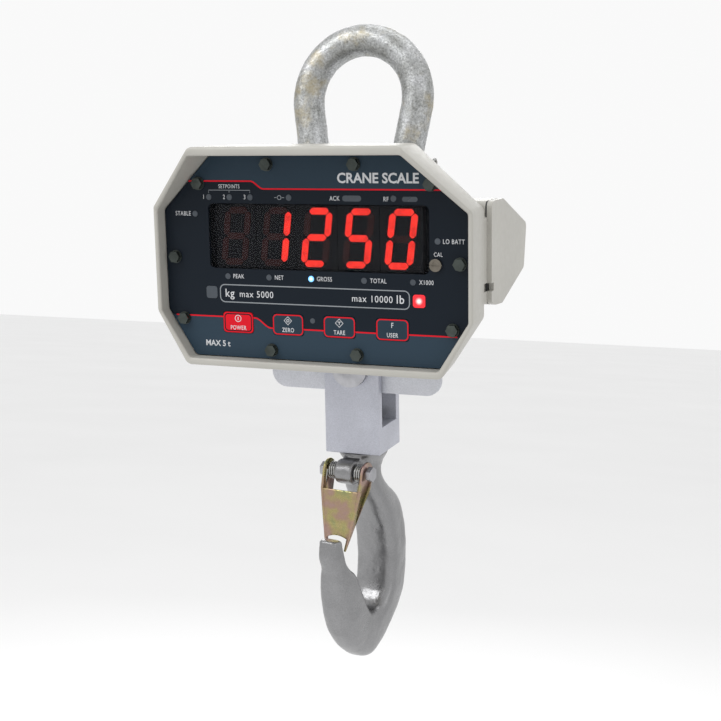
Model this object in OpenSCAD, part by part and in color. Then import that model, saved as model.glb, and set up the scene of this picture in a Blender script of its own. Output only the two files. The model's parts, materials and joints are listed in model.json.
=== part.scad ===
// Crane scale: a bow shackle carries a load cell with a display housing in front of it and two
// battery pods behind, and a swivel hook hangs below on a fork block.
// Units are millimetres. +X is the right side, -Y is the display side, +Z is up.
// Every module is drawn about the shackle pin with the load line upright. The display makes the
// scale front-heavy, so empty it hangs pitched forward: place() tips it to that balance and puts
// the origin where the crane's own hook bears on the inside of the bow.

/* [Load line] */
// Distance from the shackle pin down to the lower pin
pin_span = 137.5; // [136:0.5:142]
// How far the empty scale hangs pitched forward below its upright shackle, in degrees
hang_pitch = 9; // [0:1:12]
// How far the hook is turned about its shank, in degrees
hook_turn = -7; // [-180:1:180]

/* [Shackle] */
// Bar diameter of the bow
bar_d = 25.4; // [22:0.1:28]
// Widest clear width inside the bow
bow_inside = 68; // [62:1:74]
// Clear width between the two ears
jaw = 43; // [42.4:0.2:46]
// From the pin centre to the inside of the crown
bow_reach = 110; // [100:1:120]
// Shackle pin diameter
pin_d = 28.6; // [25:0.1:30]

/* [Display housing] */
// Half width across the front rim
side_half = 127.5; // [126.5:0.5:129]
// Height of the top edge above the shackle pin
top_z = 42.5; // [41.5:0.5:44]
// Drop from the shackle pin to the bottom edge
bottom_drop = 124.5; // [124:0.5:126]
// Depth from the front rim to the outside of the back wall
housing_depth = 41; // [41:1:44]
// From the front rim back to the face of the panel
panel_recess = 11; // [10:1:12]
// How far the sun visor over the panel reaches in front of the rim
visor_reach = 24; // [14:1:26]
// Wall thickness of the casting
housing_wall = 3.5; // [3:0.5:5]

/* [Display] */
// Width of the display window
window_w = 177; // [170:1:180]
// Height of the display window
window_h = 49; // [47:1:52]
// Height of one numeral
digit_h = 44; // [38:1:45]
// Spacing of the numerals
digit_pitch = 33.3; // [32:0.1:34]
// Slant of the numerals in degrees
digit_slant = 7; // [0:1:10]

/* [Keys] */
// Width of a key
key_w = 26; // [22:1:30]
// Height of a key
key_h = 16.6; // [14:0.2:18]
// Spacing of the keys
key_pitch = 42; // [36:1:43]
// How far a key moves when it is pressed
key_travel = 0.8; // [0.5:0.1:0.9]

/* [Battery pods] */
// Outside half width across both pods and their doors
pod_half = 127; // [125:0.5:129]
// Half width of the open channel between the pods
channel_half = 66.5; // [66:0.5:68]
// Wall thickness of a pod
pod_wall = 3; // [2.5:0.5:3]

/* [Hook block] */
// Side of the square block
block_side = 47.2; // [46:0.2:50]
// Clear width of the slot in the block
slot_w = 32.8; // [32.8:0.2:34]
// Lower pin diameter
lower_pin_d = 20; // [16:1:22]

/* [Hook] */
// Diameter of the plain part of the hook shank
shank_d = 24; // [20:1:25]
// Diameter of the threaded end of the shank
thread_d = 20; // [16:1:20]
// Thickness of the latch sheet
latch_sheet = 2; // [1.5:0.5:2.5]

/* [Hidden] */

$fn = 64;

// Places along Y, measured from the load line
rim_y = -106;
panel_y = rim_y + panel_recess;
panel_t = 2.5;
gasket_t = 1.5;
ledge_t = 4;
ledge_y = panel_y + panel_t + gasket_t;
back_y = rim_y + housing_depth;
back_wall_t = 4;
window_t = 2.2;
window_corner_r = 4;
module_front_y = panel_y + panel_t + 0.5;
module_depth = 7.5;
display_board_y = module_front_y + module_depth;
board_t = 1.6;
main_board_y = display_board_y + board_t + 3.9;
pod_front_y = back_y + 8;
web_t = 4;

// Heights, measured from the shackle pin
lower_pin_z = -pin_span;
display_z = -25.4;
window_x = 3.2;
digit_x = 3;
key_z = -91.4;
lamp_row_z = -56;

// Outlines of the display housing, right half from the top down: its front edge, its back and
// the recess round the panel. The walls draw in towards the back.
side_draw = 3.5;
bottom_draw = 2;
side_lip = 3.7;
top_lip = 6.5;
bottom_lip = 5.5;
visor_low_z = -5.6;
back_side = side_half - side_draw;
recess_side = side_half - side_lip;
rim_half = [[81.7, top_z], [side_half, -4], [side_half, -83], [103.5, -bottom_drop]];
back_half = [[71.5, top_z], [back_side, -4.5], [back_side, -84], [99, bottom_draw - bottom_drop]];
recess_half = [[82.7, top_z - top_lip], [recess_side, visor_low_z], [recess_side, -83],
    [101, bottom_lip - bottom_drop]];
housing_corner_r = 7;
recess_corner_r = 4;
ledge_w = 11;

// Ten panel screws, right half from the top down
screw_half = [[35, 28.4], [93, 14.2], [115, -42], [109.3, -89.7], [35, -111.5]];
screw_d = 5;
screw_flange_r = 5;

// Side profile of a battery pod as [y, z], from the front top corner clockwise
pod_profile = [[pod_front_y, 0], [-26, 0], [41.5, -24], [34.5, -58.5], [-28, -78.5],
    [-46, -77.5], [pod_front_y, -74.7]];
pod_corner_r = 5;
door_t = 3.8;
door_gasket_t = 1.2;
door_x = pod_half - door_t;
pod_end_x = door_x - door_gasket_t;
hinge_x = 118.5;
hinge_y = 45.5;
hinge_r = 3.5;
hinge_pin_r = 1.5;
hinge_span = [-50, -25];
hinge_leaf_x = door_x + 1.5;

// The neck that joins the housing to the pods, right half from the top down, and the drain slot
// in each of its sides
neck_side = 123.5;
neck_low_z = -75;
neck_profile_half = [[104, 0], [neck_side, -12], [neck_side, neck_low_z]];
neck_side_wall = 10;
neck_inner_top = -9;
slot_low_z = -66;
slot_h = 6;
door_notch = 5.5;

// Battery cells: C size
cell_d = 26.2;
cell_len = 48;
cell_yz = [[-37, -20], [-37, -50], [-9.5, -25], [-9.5, -52.2]];
tray_x = channel_half + pod_wall + 0.5;

// Bolts that join the bracket plate, the pods and the display housing
frame_bolts = [[-52, -44], [52, -44], [-52, -68], [52, -68]];
frame_bolt_d = 6;
cell_bolts = [[-12, -42], [12, -42], [-12, -86], [12, -86]];
cell_bolt_d = 8;

// Load cell
cell_half_x = 19;
cell_half_y = 13.2;
eye_r = 27;
lug_r = 18;
gauge_r = 14;
gauge_z = -62;
plate_t = 2.6;
plate_y = -cell_half_y - plate_t;
pin_clear = 0.06;

// Hook block and what sits on its floor
block_half = block_side / 2;
slot_half = slot_w / 2;
block_top_z = lower_pin_z + 24.5;
floor_z = lower_pin_z - 49.1;
block_bottom_z = floor_z - 22;
race_t = 2.5;
race_r = 15.5;
ball_r = 2;
ball_gap = 0.15;
ball_ring_r = 12.9;
upper_race_z = floor_z + race_t + ball_gap + 2 * ball_r;
nut_z = upper_race_z + race_t;
nut_h = 16.5;
nut_af = 26.6;
shank_top_z = lower_pin_z - lug_r - 1.8;
hook_gap = 0.6;

// Latch pivot, as distance towards the hook tip and height
latch_pivot_u = 27;
latch_pivot_z = -223;
latch_pin_r = 4;
latch_half = 18.5;
latch_boss_half = 8;
latch_foot_z = -287;
latch_lean = 14;

// Hook body stations, neck to tip: [inner edge u, z], [outer edge u, z], width across
hook_stations = [
    [[14.5, -219], [-14.5, -219], 29],
    [[15, -232], [-16, -234], 29],
    [[9, -247], [-25, -245], 31],
    [[-1, -262], [-41, -259], 33],
    [[-9, -280], [-49, -277], 35],
    [[-13, -300], [-53, -300], 36],
    [[-12.5, -320], [-51.5, -325], 36],
    [[-8, -336], [-43, -349], 36],
    [[2, -346], [-20, -372.5], 34],
    [[12, -345], [8, -389], 32],
    [[20, -337], [31, -378], 31],
    [[28, -322], [49, -358], 30],
    [[36, -306], [58.5, -331], 27.5],
    [[43, -300], [61, -310], 24],
    [[49, -292], [60.5, -299], 20],
    [[52, -281], [65, -288], 19],
    [[53, -272], [64, -271], 18]];
hook_steps = 4;
hook_sides = 24;
hook_squareness = 0.66;
hook_taper = 0.15;
tip_rounding = 3.5;

// ---------------------------------------------------------------- helpers

function unit(v) = v / norm(v);

// Inward direction at vertex p of a convex outline, between its neighbours a and b
function bisector(p, a, b) = unit(unit(a - p) + unit(b - p));
function half_angle(p, a, b) = acos(unit(a - p) * unit(b - p)) / 2;

// A convex outline moved inwards by d
function inset(pts, d) = let (n = len(pts)) [for (i = [0:n - 1])
    let (p = pts[i], a = pts[(i + n - 1) % n], b = pts[(i + 1) % n])
    p + bisector(p, a, b) * d / sin(half_angle(p, a, b))];

// An arc of radius r that rounds vertex p between its neighbours a and b
function corner(p, a, b, r, n) =
    let (h = half_angle(p, a, b), c = p + bisector(p, a, b) * r / sin(h))
    let (v1 = p + unit(a - p) * r / tan(h) - c, v2 = p + unit(b - p) * r / tan(h) - c)
    let (sweep = 180 - 2 * h)
    [for (i = [0:n]) let (t = i / n)
        c + (v1 * sin((1 - t) * sweep) + v2 * sin(t * sweep)) / sin(sweep)];

function rounded(pts, r, n = 6) = let (m = len(pts))
    [for (i = [0:m - 1]) each corner(pts[i], pts[(i + m - 1) % m], pts[(i + 1) % m], r, n)];

function mirrored_x(half) = concat(half,
    [for (i = [len(half) - 1:-1:0]) [-half[i][0], half[i][1]]]);

function rect(w, h) = [[-w / 2, -h / 2], [w / 2, -h / 2], [w / 2, h / 2], [-w / 2, h / 2]];

module place() {
    translate([0, 0, -bow_reach])
        rotate([hang_pitch, 0, 0])
            children();
}

// The shackle and its pin hang upright
module place_upright() {
    translate([0, 0, -bow_reach])
        children();
}

// Extrudes an [x, z] outline from y0 to y1
module along_y(y0, y1) {
    translate([0, y1, 0])
        rotate([90, 0, 0])
            linear_extrude(y1 - y0)
                children();
}

// Extrudes a [y, z] outline from x0 to x1
module along_x(x0, x1) {
    translate([x0, 0, 0])
        rotate([90, 0, 90])
            linear_extrude(x1 - x0)
                children();
}

module rod_x(r, x0, x1) {
    translate([x0, 0, 0])
        rotate([0, 90, 0])
            cylinder(r = r, h = x1 - x0);
}

module rod_y(r, y0, y1) {
    translate([0, y0, 0])
        rotate([-90, 0, 0])
            cylinder(r = r, h = y1 - y0);
}

module hex_x(af, x0, x1) {
    translate([x0, 0, 0])
        rotate([0, 90, 0])
            cylinder(d = af / cos(30), h = x1 - x0, $fn = 6);
}

module hex_y(af, y0, y1) {
    translate([0, y0, 0])
        rotate([-90, 0, 0])
            cylinder(d = af / cos(30), h = y1 - y0, $fn = 6);
}

// Puts children at each [x, z] point and at its mirror image
module at_xz(points) {
    for (p = points)
        translate([p[0], 0, p[1]])
            children();
}

module both_sides() {
    for (side = [0, 1])
        mirror([side, 0, 0])
            children();
}

// ---------------------------------------------------------------- shackle

bar_r = bar_d / 2;
bow_r = bow_inside / 2 + bar_r;
bow_centre_z = bow_reach - bow_inside / 2;
ear_t = 26;
ear_r = 31;
ear_x = jaw / 2 + ear_t / 2;
leg_swell = 1.8;
leg_flare = atan((bow_r - ear_x) / bow_centre_z);
leg_len = norm([bow_r * cos(leg_flare) - ear_x, bow_centre_z - bow_r * sin(leg_flare)]);
leg_lean = atan((bow_r * cos(leg_flare) - ear_x) / (bow_centre_z - bow_r * sin(leg_flare)));
pin_head_x = ear_x + ear_t / 2 + 1;
pin_head_af = 42;
pin_head_t = 11;
spot_face_r = pin_head_af / sqrt(3) + 1.5;
pin_end_x = 65;
cotter_x = 63;
cotter_r = 1.6;

module shackle() {
    color("silver")
    place_upright() difference() {
        union() {
            translate([0, 0, bow_centre_z])
                rotate([90, 0, 0])
                    rotate([0, 0, -leg_flare])
                        rotate_extrude(angle = 180 + 2 * leg_flare)
                            translate([bow_r, 0])
                                circle(r = bar_r);
            both_sides() {
                translate([ear_x, 0, 0])
                    rotate([0, leg_lean, 0])
                        cylinder(r1 = bar_r + leg_swell, r2 = bar_r + 0.2, h = leg_len + 0.5);
                rod_x(ear_r, ear_x - ear_t / 2, ear_x + ear_t / 2);
            }
        }
        rod_x(pin_d / 2 + 0.4, -80, 80);
        both_sides()
            rod_x(spot_face_r, ear_x + ear_t / 2, pin_end_x);
    }
}

module shackle_pin() {
    color("lightgray")
    place_upright() difference() {
        union() {
            rod_x(pin_d / 2, -pin_head_x, pin_end_x);
            hex_x(pin_head_af, -pin_head_x - pin_head_t, -pin_head_x);
        }
        translate([cotter_x, 0, 0])
            cylinder(r = cotter_r + 0.2, h = 40, center = true);
    }
}

module shackle_nut() {
    color("lightgray")
    place_upright() difference() {
        hex_x(pin_head_af, pin_head_x, pin_head_x + pin_head_t);
        rod_x(pin_d / 2 + 0.1, pin_head_x - 1, pin_head_x + pin_head_t + 1);
    }
}

module shackle_cotter() {
    color("gray")
    place_upright() translate([cotter_x, 0, 0]) {
        cylinder(r = cotter_r, h = 42, center = true);
        translate([0, 0, 21 + 3.5])
            rotate([0, 90, 0])
                rotate_extrude()
                    translate([4, 0])
                        circle(r = cotter_r);
    }
}

// ---------------------------------------------------------------- load cell

module load_cell() {
    color("gainsboro")
    place() difference() {
        union() {
            rod_x(eye_r, -cell_half_x, cell_half_x);
            translate([-cell_half_x, -cell_half_y, lower_pin_z + 24])
                cube([2 * cell_half_x, 2 * cell_half_y, pin_span - 24]);
            translate([-lug_r, -cell_half_y, lower_pin_z])
                cube([2 * lug_r, 2 * cell_half_y, 26]);
            translate([0, 0, lower_pin_z])
                rod_y(lug_r, -cell_half_y, cell_half_y);
        }
        rod_x(pin_d / 2 + pin_clear, -30, 30);
        translate([0, 0, lower_pin_z])
            rod_y(lower_pin_d / 2 + pin_clear, -30, 30);
        for (side = [-1, 1])
            translate([0, side * cell_half_y, gauge_z])
                rod_y(gauge_r, -5, 5);
        at_xz(cell_bolts)
            rod_y(cell_bolt_d / 2 + 0.1, -20, 4);
    }
}

module gauge_covers() {
    color("silver")
    place() translate([0, 0, gauge_z]) {
        difference() {
            rod_y(gauge_r - 0.2, -cell_half_y + 1, -cell_half_y + 3);
            rod_y(3, -20, 0);
        }
        rod_y(gauge_r - 0.2, cell_half_y - 3, cell_half_y - 1);
    }
}

module cell_cable() {
    color("black")
    place() translate([0, 0, gauge_z])
        rod_y(2.5, main_board_y + board_t, -cell_half_y + 5);
}

module cable_glands() {
    color("dimgray")
    place() translate([0, 0, gauge_z]) {
        difference() {
            union() {
                hex_y(14, -cell_half_y - 7, -cell_half_y - 1);
                rod_y(5, -cell_half_y - 1, -cell_half_y + 1);
            }
            rod_y(2.6, -30, 0);
        }
        difference() {
            union() {
                rod_y(5, back_y - back_wall_t, back_y);
                hex_y(14, back_y, back_y + 6);
            }
            rod_y(2.6, back_y - 10, back_y + 10);
        }
    }
}

// ---------------------------------------------------------------- bracket

bracket_wide = [[-74, -158], [74, -158], [74, -84], [-74, -84]];
bracket_tall = [[-60, -90], [60, -90], [60, -34], [-60, -34]];

module bracket_plate() {
    color("lightgray")
    place() difference() {
        union() {
            along_y(plate_y, plate_y + plate_t)
                polygon(rounded(bracket_wide, 13, 8));
            along_y(plate_y, plate_y + plate_t)
                polygon(bracket_tall);
        }
        translate([0, 0, gauge_z])
            rod_y(gauge_r + 2, -30, 0);
        translate([0, 0, lower_pin_z])
            rod_y(lower_pin_d / 2 + 0.6, -30, 0);
        at_xz(cell_bolts)
            rod_y(cell_bolt_d / 2 + 0.2, -30, 0);
        at_xz(frame_bolts)
            rod_y(frame_bolt_d / 2 + 0.2, -30, 0);
    }
}

module bracket_bolts() {
    color("gray")
    place() at_xz(cell_bolts) {
        rod_y(cell_bolt_d / 2, plate_y, 3);
        hex_y(13, plate_y - 5, plate_y);
    }
}

module bracket_spacers() {
    color("gray")
    place() at_xz(frame_bolts)
        difference() {
            rod_y(6, pod_front_y + web_t, plate_y);
            rod_y(frame_bolt_d / 2 + 0.2, -80, 0);
        }
}

module housing_bolts() {
    color("gray")
    place() at_xz(frame_bolts) {
        rod_y(frame_bolt_d / 2, back_y - back_wall_t - 5.5, plate_y + plate_t);
        hex_y(10, plate_y + plate_t, plate_y + plate_t + 4);
    }
}

module housing_nuts() {
    color("gray")
    place() at_xz(frame_bolts)
        difference() {
            hex_y(10, back_y - back_wall_t - 5, back_y - back_wall_t);
            rod_y(frame_bolt_d / 2 + 0.05, -90, 0);
        }
}

// ---------------------------------------------------------------- display housing

rim_outline = mirrored_x(rim_half);
back_outline = mirrored_x(back_half);
recess_outline = mirrored_x(recess_half);
cavity_outline = inset(back_outline, housing_wall);
panel_outline = inset(recess_outline, 0.8);
ledge_inner = inset(recess_outline, ledge_w);
visor_y = rim_y - visor_reach;
visor_slope = visor_reach / (top_z - top_lip - visor_low_z);

// The space in front of the rim and of the visor's slanting edge
module before_rim() {
    above = 100;
    ahead = 200;
    along_x(-ahead, ahead)
        polygon([[rim_y, -ahead], [rim_y, visor_low_z],
            [rim_y - visor_slope * (above - visor_low_z), above], [-ahead, above], [-ahead, -ahead]]);
}

module housing_shell() {
    difference() {
        hull() {
            along_y(visor_y, rim_y + 1)
                polygon(rounded(rim_outline, housing_corner_r));
            along_y(back_y - 1, back_y)
                polygon(rounded(back_outline, housing_corner_r));
        }
        before_rim();
    }
}

module screw_bosses() {
    at_xz(mirrored_x(screw_half))
        rod_y(6, ledge_y, ledge_y + 14);
}

module front_housing() {
    color([0.78, 0.77, 0.73])
    place() difference() {
        union() {
            difference() {
                housing_shell();
                along_y(visor_y - 1, ledge_y)
                    polygon(rounded(recess_outline, recess_corner_r));
                along_y(visor_y - 1, back_y - back_wall_t)
                    polygon(rounded(ledge_inner, 3));
                along_y(ledge_y + ledge_t, back_y - back_wall_t)
                    polygon(rounded(cavity_outline, 4));
            }
            screw_bosses();
        }
        at_xz(mirrored_x(screw_half))
            rod_y(screw_d / 2 + 0.05, ledge_y - 1, ledge_y + 12);
        at_xz(frame_bolts)
            rod_y(frame_bolt_d / 2 + 0.2, back_y - 20, back_y + 1);
        translate([0, 0, gauge_z])
            rod_y(5.1, back_y - 20, back_y + 1);
    }
}

module panel_gasket() {
    color("black")
    place() difference() {
        along_y(panel_y + panel_t, ledge_y)
            polygon(rounded(panel_outline, 4));
        along_y(panel_y, ledge_y + 1)
            polygon(rounded(ledge_inner, 3));
        at_xz(mirrored_x(screw_half))
            rod_y(screw_d / 2 + 0.3, panel_y, ledge_y + 1);
    }
}

module key_outline(shrink) {
    polygon(rounded(rect(key_w - 2 * shrink, key_h - 2 * shrink), 2.6));
}

key_x = [-1.5 * key_pitch, -0.5 * key_pitch, 0.5 * key_pitch, 1.5 * key_pitch];

module front_panel() {
    color([0.16, 0.2, 0.25])
    place() difference() {
        along_y(panel_y, panel_y + panel_t)
            polygon(rounded(panel_outline, 4));
        translate([window_x, 0, display_z])
            along_y(panel_y - 1, panel_y + panel_t + 1)
                polygon(rounded(rect(window_w + 0.4, window_h + 0.4), window_corner_r + 0.2));
        for (x = key_x)
            translate([x, 0, key_z])
                along_y(panel_y - 1, panel_y + panel_t + 1)
                    key_outline(0);
        at_xz(mirrored_x(screw_half))
            rod_y(screw_d / 2 + 0.3, panel_y - 1, ledge_y);
        at_xz([for (lamp = lamps) [lamp[0], lamp[1]]])
            rod_y(lamp_r + 0.1, panel_y - 1, ledge_y);
        at_xz([cal_xz])
            rod_y(3.1, panel_y - 1, ledge_y);
        at_xz(unit_lamps)
            along_y(panel_y - 1, ledge_y)
                unit_lamp_outline(0.1);
    }
}

module panel_screws() {
    color([0.12, 0.12, 0.13])
    place() at_xz(mirrored_x(screw_half)) {
        hex_y(8, panel_y - 4.2, panel_y - 0.9);
        rod_y(screw_flange_r, panel_y - 0.9, panel_y);
        rod_y(screw_d / 2, panel_y, panel_y + 13);
    }
}

module display_window() {
    color([0.15, 0.05, 0.05, 0.5])
    place() translate([window_x, 0, display_z])
        along_y(panel_y, panel_y + window_t)
            polygon(rounded(rect(window_w, window_h), window_corner_r));
}

// ---------------------------------------------------------------- numerals

seg_w = 5;
seg_gap = 0.7;
seg_corner_r = 1.3;
digit_w = 22;
segment_t = 0.4;
// Which of segments a to g light for each figure shown, from the left; the first is blank
shown = [[], [1, 2], [0, 1, 3, 4, 6], [0, 2, 3, 5, 6], [0, 1, 2, 3, 4, 5]];

// Segments a to g: [centre x, centre z, 1 for level or 0 for upright]
seg_places = [[0, 1, 1], [1, 0.5, 0], [1, -0.5, 0], [0, -1, 1], [-1, -0.5, 0], [-1, 0.5, 0],
    [0, 0, 1]];

function slanted(p) = [p[0] + p[1] * tan(digit_slant), p[1]];

module segment(k) {
    seg_x = (digit_w - seg_w) / 2;
    seg_z = (digit_h - seg_w) / 2;
    place_k = seg_places[k];
    level = place_k[2] == 1;
    centre = [place_k[0] * seg_x, place_k[1] * seg_z];
    half = (level ? seg_x : seg_z / 2) - seg_gap / 2;
    w = seg_w / 2;
    bar = [[-half, 0], [w - half, w], [half - w, w], [half, 0], [half - w, -w], [w - half, -w]];
    outline = rounded(bar, seg_corner_r, 3);
    polygon([for (p = outline) slanted(centre + (level ? p : [-p[1], p[0]]))]);
}

function is_lit(digit, k) = len([for (s = shown[digit]) if (s == k) s]) > 0;

module segments(lit) {
    for (digit = [0:4])
        for (k = [0:6])
            if (is_lit(digit, k) == lit)
                translate([digit_x + (digit - 2) * digit_pitch, 0, display_z])
                    along_y(module_front_y - segment_t, module_front_y)
                        segment(k);
}

module digit_modules() {
    color([0.08, 0.08, 0.09])
    place() for (digit = [0:4])
        translate([digit_x + (digit - 2) * digit_pitch, 0, display_z])
            along_y(module_front_y, display_board_y)
                polygon(rect(digit_pitch - 0.4, digit_h + 3.6));
}

module digits_lit() {
    color("red")
    place() segments(true);
}

module digits_dark() {
    color([0.2, 0.14, 0.15])
    place() segments(false);
}

// ---------------------------------------------------------------- lamps

lamp_r = 2.2;
// Lamp places as [x, z]; the lit one has a node of its own
lamps = [[-96.8, -8.8], [-84.4, 4], [-67, 4], [-49.6, 4], [-17.7, 4], [65.1, 4], [98.2, -26],
    [-70.5, lamp_row_z], [-35.8, lamp_row_z], [41.3, lamp_row_z], [79.3, lamp_row_z],
    [-1.1, lamp_row_z]];
gross = len(lamps) - 1;
unit_lamps = [[-84.8, -68.7], [83.8, -69.6]];
unit_lamp_side = 9.4;
cal_xz = [96.9, -43];

module unit_lamp_outline(grow) {
    side = unit_lamp_side + 2 * grow;
    polygon(rounded(rect(side, side), 2));
}

module lamp_at(p) {
    translate([p[0], 0, p[1]])
        rod_y(lamp_r, panel_y - 0.3, panel_y + 2);
}

module status_lamps() {
    color([0.35, 0.36, 0.38])
    place() {
        for (i = [0:gross - 1])
            lamp_at(lamps[i]);
        translate([unit_lamps[0][0], 0, unit_lamps[0][1]])
            along_y(panel_y - 0.3, panel_y + 2)
                unit_lamp_outline(0);
    }
}

module gross_lamp() {
    color([0.5, 0.75, 1])
    place() lamp_at(lamps[gross]);
}

module unit_lamp() {
    color("red")
    place() translate([unit_lamps[1][0], 0, unit_lamps[1][1]])
        along_y(panel_y - 0.3, panel_y + 2)
            unit_lamp_outline(0);
}

// ---------------------------------------------------------------- keys

module key(i) {
    place() translate([key_x[i], 0, key_z]) {
        along_y(panel_y - 0.4, panel_y + 2)
            key_outline(0.4);
        rod_y(2.5, panel_y + 2, panel_y + 2.8);
    }
}

module key_power() {
    color("crimson")
    key(0);
}

module key_zero() {
    color([0.13, 0.15, 0.18])
    key(1);
}

module key_tare() {
    color([0.13, 0.15, 0.18])
    key(2);
}

module key_user() {
    color([0.13, 0.15, 0.18])
    key(3);
}

module key_switches() {
    color("dimgray")
    place() for (x = key_x)
        translate([x, 0, key_z]) {
            along_y(display_board_y - 5, display_board_y)
                polygon(rect(12, 12));
            rod_y(3.2, display_board_y - 6.2, display_board_y - 5);
        }
}

module cal_screw() {
    color([0.2, 0.2, 0.22])
    place() translate([cal_xz[0], 0, cal_xz[1]])
        difference() {
            union() {
                rod_y(4.6, panel_y - 2.2, panel_y);
                rod_y(3, panel_y, panel_y + 6);
            }
            along_y(panel_y - 3, panel_y - 1.2)
                polygon(rect(10, 1));
        }
}

// ---------------------------------------------------------------- boards

standoffs = [[-54, -96], [54, -96], [-54, -14], [54, -14]];

module display_board() {
    color("darkgreen")
    place() along_y(display_board_y, display_board_y + board_t)
        polygon([[-98, -104], [98, -104], [98, 6], [-98, 6]]);
}

module main_board() {
    color("green")
    place() difference() {
        along_y(main_board_y, main_board_y + board_t)
            polygon([[-60, -102], [60, -102], [60, -8], [-60, -8]]);
        at_xz(standoffs)
            rod_y(3.1, main_board_y - 1, main_board_y + board_t + 1);
    }
}

// Parts on the back of the main board: [x, z, width, height, depth]
chips = [[-20, -60, 14, 14, 1.6], [20, -30, 10, 10, 1.6], [-30, -30, 18, 8, 2.5],
    [24, -76, 16, 12, 5], [-28, -84, 24, 7, 6], [36, -20, 12, 6, 2]];
capacitors = [[2, -90], [14, -90], [38, -56], [-44, -58]];

module board_parts() {
    color("dimgray")
    place() {
        for (c = chips)
            translate([c[0], 0, c[1]])
                along_y(main_board_y + board_t, main_board_y + board_t + c[4])
                    polygon(rect(c[2], c[3]));
        at_xz(capacitors)
            rod_y(4, main_board_y + board_t, main_board_y + board_t + 6);
    }
}

module board_standoffs() {
    color("goldenrod")
    place() at_xz(standoffs)
        rod_y(3, display_board_y + board_t, back_y - back_wall_t);
}

module radio_module() {
    color("silver")
    place() translate([76, 0, -30])
        along_y(display_board_y + board_t, display_board_y + board_t + 4)
            polygon(rounded(rect(24, 34), 1.5));
}

// ---------------------------------------------------------------- pods

module neck_frame() {
    color([0.72, 0.71, 0.67])
    place() along_y(back_y, pod_front_y)
        difference() {
            polygon(mirrored_x(neck_profile_half));
            translate([neck_side_wall - neck_side, neck_low_z + pod_wall])
                square([2 * (neck_side - neck_side_wall), neck_inner_top - neck_low_z - pod_wall]);
            for (side = [-1, 1])
                translate([side * neck_side, slot_low_z + slot_h / 2])
                    square([2 * (neck_side_wall - 2), slot_h], center = true);
        }
}

module pod_slice(shrink, x0, x1) {
    along_x(x0, x1)
        polygon(rounded(inset(pod_profile, shrink), pod_corner_r - min(shrink, 3.5)));
}

// Hinge barrel pieces on one side, with z from the lowest to the highest of each piece
module hinge_barrels(spans) {
    for (s = spans)
        translate([hinge_x, hinge_y, s[0]])
            cylinder(r = hinge_r, h = s[1] - s[0]);
}

pod_barrel = [[-42.3, -32.7]];
door_barrels = [[hinge_span[0], -42.7], [-32.3, hinge_span[1]]];

module rear_housing() {
    color([0.78, 0.77, 0.73])
    place() difference() {
        union() {
            difference() {
                pod_slice(0, -pod_end_x, pod_end_x);
                translate([-channel_half, pod_front_y + web_t, -100])
                    cube([2 * channel_half, 150, 150]);
                both_sides()
                    pod_slice(pod_wall, channel_half + pod_wall, pod_end_x + 1);
            }
            both_sides()
                difference() {
                    union() {
                        hinge_barrels(pod_barrel);
                        translate([hinge_x - hinge_r, 30, pod_barrel[0][0]])
                            cube([5, hinge_y - 30, pod_barrel[0][1] - pod_barrel[0][0]]);
                    }
                    pod_slice(0.01, 100, 130);
                }
        }
        both_sides()
            translate([hinge_x, hinge_y, -60])
                cylinder(r = hinge_pin_r + 0.05, h = 50);
        at_xz(frame_bolts)
            rod_y(frame_bolt_d / 2 + 0.2, -80, -40);
        translate([0, 0, gauge_z])
            rod_y(4.5, -80, -40);
    }
}

module door_gaskets() {
    color("black")
    place() both_sides()
        difference() {
            pod_slice(0.2, pod_end_x, door_x);
            pod_slice(pod_wall, pod_end_x - 1, door_x + 1);
        }
}

// The right-hand battery door; the left one is its mirror image
module battery_door() {
    difference() {
        union() {
            pod_slice(0, door_x, pod_half);
            hinge_barrels(door_barrels);
            for (s = door_barrels)
                translate([hinge_x, hinge_y - 16, s[0]])
                    cube([hinge_leaf_x - hinge_x, 14, s[1] - s[0]]);
            for (z = [-54, -14])
                translate([door_x - 6, pod_front_y + pod_wall + 0.6, z])
                    cube([6.5, 2.5, 8]);
        }
        translate([door_x - 1, pod_front_y - 1, slot_low_z])
            cube([10, door_notch + 1, slot_h]);
        translate([hinge_x - 6, 20, -70])
            cube([door_x - hinge_x + 6, hinge_y - hinge_r - 20, 60]);
        translate([hinge_x, hinge_y, -60])
            cylinder(r = hinge_pin_r + 0.05, h = 50);
    }
}

module battery_door_left() {
    color([0.78, 0.77, 0.73])
    place() mirror([1, 0, 0])
        battery_door();
}

module battery_door_right() {
    color([0.78, 0.77, 0.73])
    place() battery_door();
}

module door_hinge_pins() {
    color("silver")
    place() both_sides()
        translate([hinge_x, hinge_y, hinge_span[0] - 0.5])
            cylinder(r = hinge_pin_r, h = hinge_span[1] - hinge_span[0] + 1);
}

module at_cells() {
    for (c = cell_yz)
        translate([0, c[0], c[1]])
            children();
}

module battery_tray() {
    difference() {
        pod_slice(pod_wall + 0.6, tray_x, tray_x + 30);
        at_cells()
            rod_x(cell_d / 2 + 0.3, tray_x + 2, 130);
    }
}

module battery_tray_left() {
    color("darkslategray")
    place() mirror([1, 0, 0])
        battery_tray();
}

module battery_tray_right() {
    color("darkslategray")
    place() battery_tray();
}

module battery_cells() {
    color("goldenrod")
    place() both_sides()
        at_cells() {
            rod_x(cell_d / 2, tray_x + 2.5, tray_x + 1.5 + cell_len);
            rod_x(3, tray_x + 1.5 + cell_len, tray_x + 2.5 + cell_len);
        }
}

module battery_springs() {
    color("silver")
    place() both_sides()
        at_cells()
            rod_x(5, tray_x + 2.7 + cell_len, door_x - 0.4);
}

// ---------------------------------------------------------------- hook block

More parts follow.
